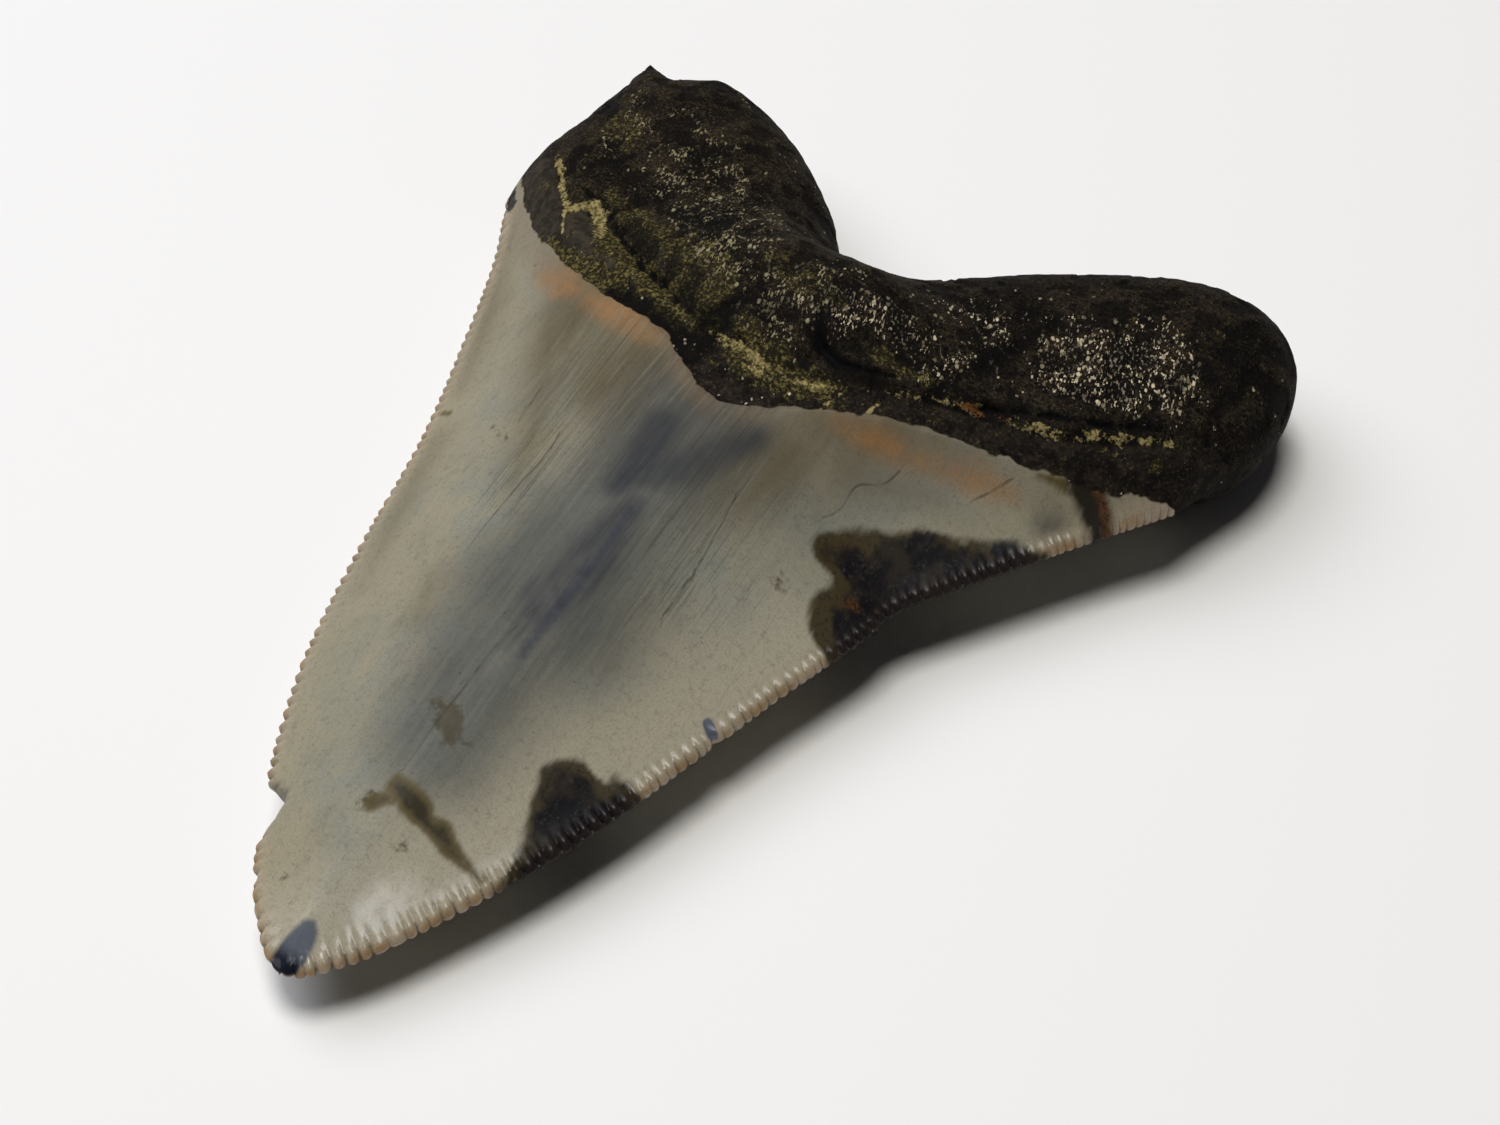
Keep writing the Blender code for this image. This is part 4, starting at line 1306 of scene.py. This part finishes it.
def crusted(g, colour):
    """Lays the yellow and rusty crusts over the root, and the black of the voids, painted shade
    deep in these hollows.
    """
    upper = g["upper"]
    rough = g.noise(0.4, 3, 0.7, 8)
    crust = g["crust"] + rough.ramp(0.25, 0.75, -0.32, 0.26)
    crust = crust + g.noise(1.5, 2, 0.5, 3).ramp(0.3, 0.7, -0.22, 0.14)
    yellow = g.mix(g.noise(0.3, 2, 0.6, 1).ramp(0.4, 0.6), CRUST_OLIVE, CRUST_YELLOW)
    rust = g["rust"] + g.noise(1, 2).ramp(0.3, 0.7, -0.5, 0.2)
    yellow = g.mix(rust.ramp(-0.4, 0.1), yellow, CRUST_RUST)
    void = g["void"] + rough.ramp(0.25, 0.75, -0.1, 0.1)
    return g.paint(
        colour,
        (crust.ramp(-0.08, 0.12) * upper, yellow),
        # Painted shade: the voids darkened to near black.
        (void.ramp(-0.14, 0.04) * upper, VOID_BLACK),
    )


def fossil_material():
    """The material of the whole tooth: enamel below the line, root above it."""
    g = Graph("fossil_tooth")
    upper = g["upper"]
    ragged = g.noise(1.8, 2, 0.6).ramp(0.2, 0.8, -0.25, 0.25)
    in_root = (g["above"] + ragged).ramp(-0.08, 0.08)
    enamel = stained(g, enamel_colour(g))
    crack = crack_line(g) * upper
    enamel = g.mix(crack * 0.6, enamel, FLECK_BROWN)
    root, speck = root_colour(g)
    # Painted shade: the pits' hollows darkened towards black.
    root = g.mix(g["pit"] * 0.7, root, VOID_BLACK)
    on_band = g["groove"].ramp(0, 0.3, 1, 0) * upper
    root = crusted(g, g.mix(on_band, root, band_colour(g)))
    colour = g.mix(in_root, enamel, root)
    chip = g["dark_chip"] + g.noise(0.4, 2).ramp(0.3, 0.7, -0.1, 0.1)
    colour = g.mix(chip.ramp(-0.1, 0.1), colour, VOID_BLACK)
    gloss = g.noise(0.9, 3, 0.6).ramp(0.3, 0.7, 0.45, 0.6)
    polish = g["shine"] * g.noise(1.3, 2, 0.5, 7).ramp(0.3, 0.6, 0.5, 1)
    dimple = g.noise(0.4, 2, 0.5, 2) * g["down"].ramp(-60, -54, 0.02, 0.004)
    enamel_height = g.streaks(0.3, 6, 2, 0.6, 5) * 0.008 + dimple - crack * 0.03
    root_height = g.noise(0.25, 4, 0.65) * 0.1 + speck * 0.02
    height = g.blend(in_root, enamel_height, root_height)
    inputs = {
        "Base Color": colour,
        "Roughness": g.blend(in_root, gloss, 0.8),
        "Specular IOR Level": 0.08,
        "Coat Weight": g.blend(in_root, polish, 0),
        "Coat Roughness": 0.2,
        "Normal": g.add("Bump", {"Distance": MM, "Height": height}, "Normal"),
    }
    g.put(g.shader, inputs)
    return g.material


CAMERA_TARGET = (0.00266, 0.00622, 0.0)
CAMERA_AZIMUTH = 33.27
CAMERA_ELEVATION = 50.0
CAMERA_DISTANCE = 0.20349
CAMERA_VIEW = 32.0  # the angle across the picture
CAMERA_CLIP = 0.01


def add_camera():
    azimuth, elevation = math.radians(CAMERA_AZIMUTH), math.radians(CAMERA_ELEVATION)
    level = math.cos(elevation)
    back = (math.sin(azimuth) * level, -math.cos(azimuth) * level, math.sin(elevation))
    back = Vector(back)
    data = bpy.data.cameras.new("camera")
    data.sensor_fit = "HORIZONTAL"
    data.angle = math.radians(CAMERA_VIEW)
    data.clip_start = CAMERA_CLIP
    camera = bpy.data.objects.new("camera", data)
    camera.location = Vector(CAMERA_TARGET) + CAMERA_DISTANCE * back
    camera.rotation_euler = back.to_track_quat("Z", "Y").to_euler()
    bpy.context.scene.collection.objects.link(camera)
    bpy.context.scene.camera = camera


FLOOR_SIZE = 4.0
FLOOR_GAP = 0.00002
FLOOR_COLOUR = (0.89, 0.89, 0.89, 1)
FLOOR_ROUGHNESS = 0.6
FLOOR_GLOSS = 0.2
SKY_COLOUR = (1, 0.93, 0.98, 1)
SKY_STRENGTH = 0.02
# Each light has its place as the camera sees it, its size, power and colour.
LIGHTS = {
    "top_light": ((-0.05, 0.05, 0.9), 0.36, 4.85, (1, 0.975, 0.905)),
    "key_light": ((-0.45, 0.3, 0.8), 0.9, 5.95, (0.915, 0.925, 1)),
    "gloss_card": ((0.26, -0.3, 0.7), 0.36, 1.8, (0.97, 0.98, 1)),
}


def add_light(name, place, size, power, colour):
    data = bpy.data.lights.new(name, "AREA")
    data.shape = "DISK"
    data.size = size
    data.energy = power
    data.color = colour
    light = bpy.data.objects.new(name, data)
    light.location = turned(*place)
    light.rotation_euler = light.location.to_track_quat("Z", "Y").to_euler()
    light.visible_diffuse = name != "gloss_card"  # it only shows in the polished enamel
    bpy.context.scene.collection.objects.link(light)


def turned(side, back, height):
    """A place given as the camera sees it: to its right, away from it, and up."""
    azimuth = math.radians(CAMERA_AZIMUTH)
    x = side * math.cos(azimuth) - back * math.sin(azimuth)
    y = side * math.sin(azimuth) + back * math.cos(azimuth)
    return (x, y, height)


def add_studio():
    bpy.ops.mesh.primitive_plane_add(size=FLOOR_SIZE, location=(0, 0, -FLOOR_GAP))
    floor = bpy.context.object
    floor.name = "floor"
    material = bpy.data.materials.new("floor")
    material.use_nodes = True
    shader = material.node_tree.nodes["Principled BSDF"]
    shader.inputs["Base Color"].default_value = FLOOR_COLOUR
    shader.inputs["Roughness"].default_value = FLOOR_ROUGHNESS
    shader.inputs["Specular IOR Level"].default_value = FLOOR_GLOSS
    floor.data.materials.append(material)
    world = bpy.data.worlds.new("studio")
    world.use_nodes = True
    sky = world.node_tree.nodes["Background"]
    sky.inputs["Color"].default_value = SKY_COLOUR
    sky.inputs["Strength"].default_value = SKY_STRENGTH
    bpy.context.scene.world = world
    for name, settings in LIGHTS.items():
        add_light(name, *settings)
    bpy.context.scene.view_settings.view_transform = "Standard"


add_camera()
add_studio()
tooth = tooth_object()
tooth.data.materials.append(fossil_material())
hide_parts(NODE)
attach(tooth, "root")
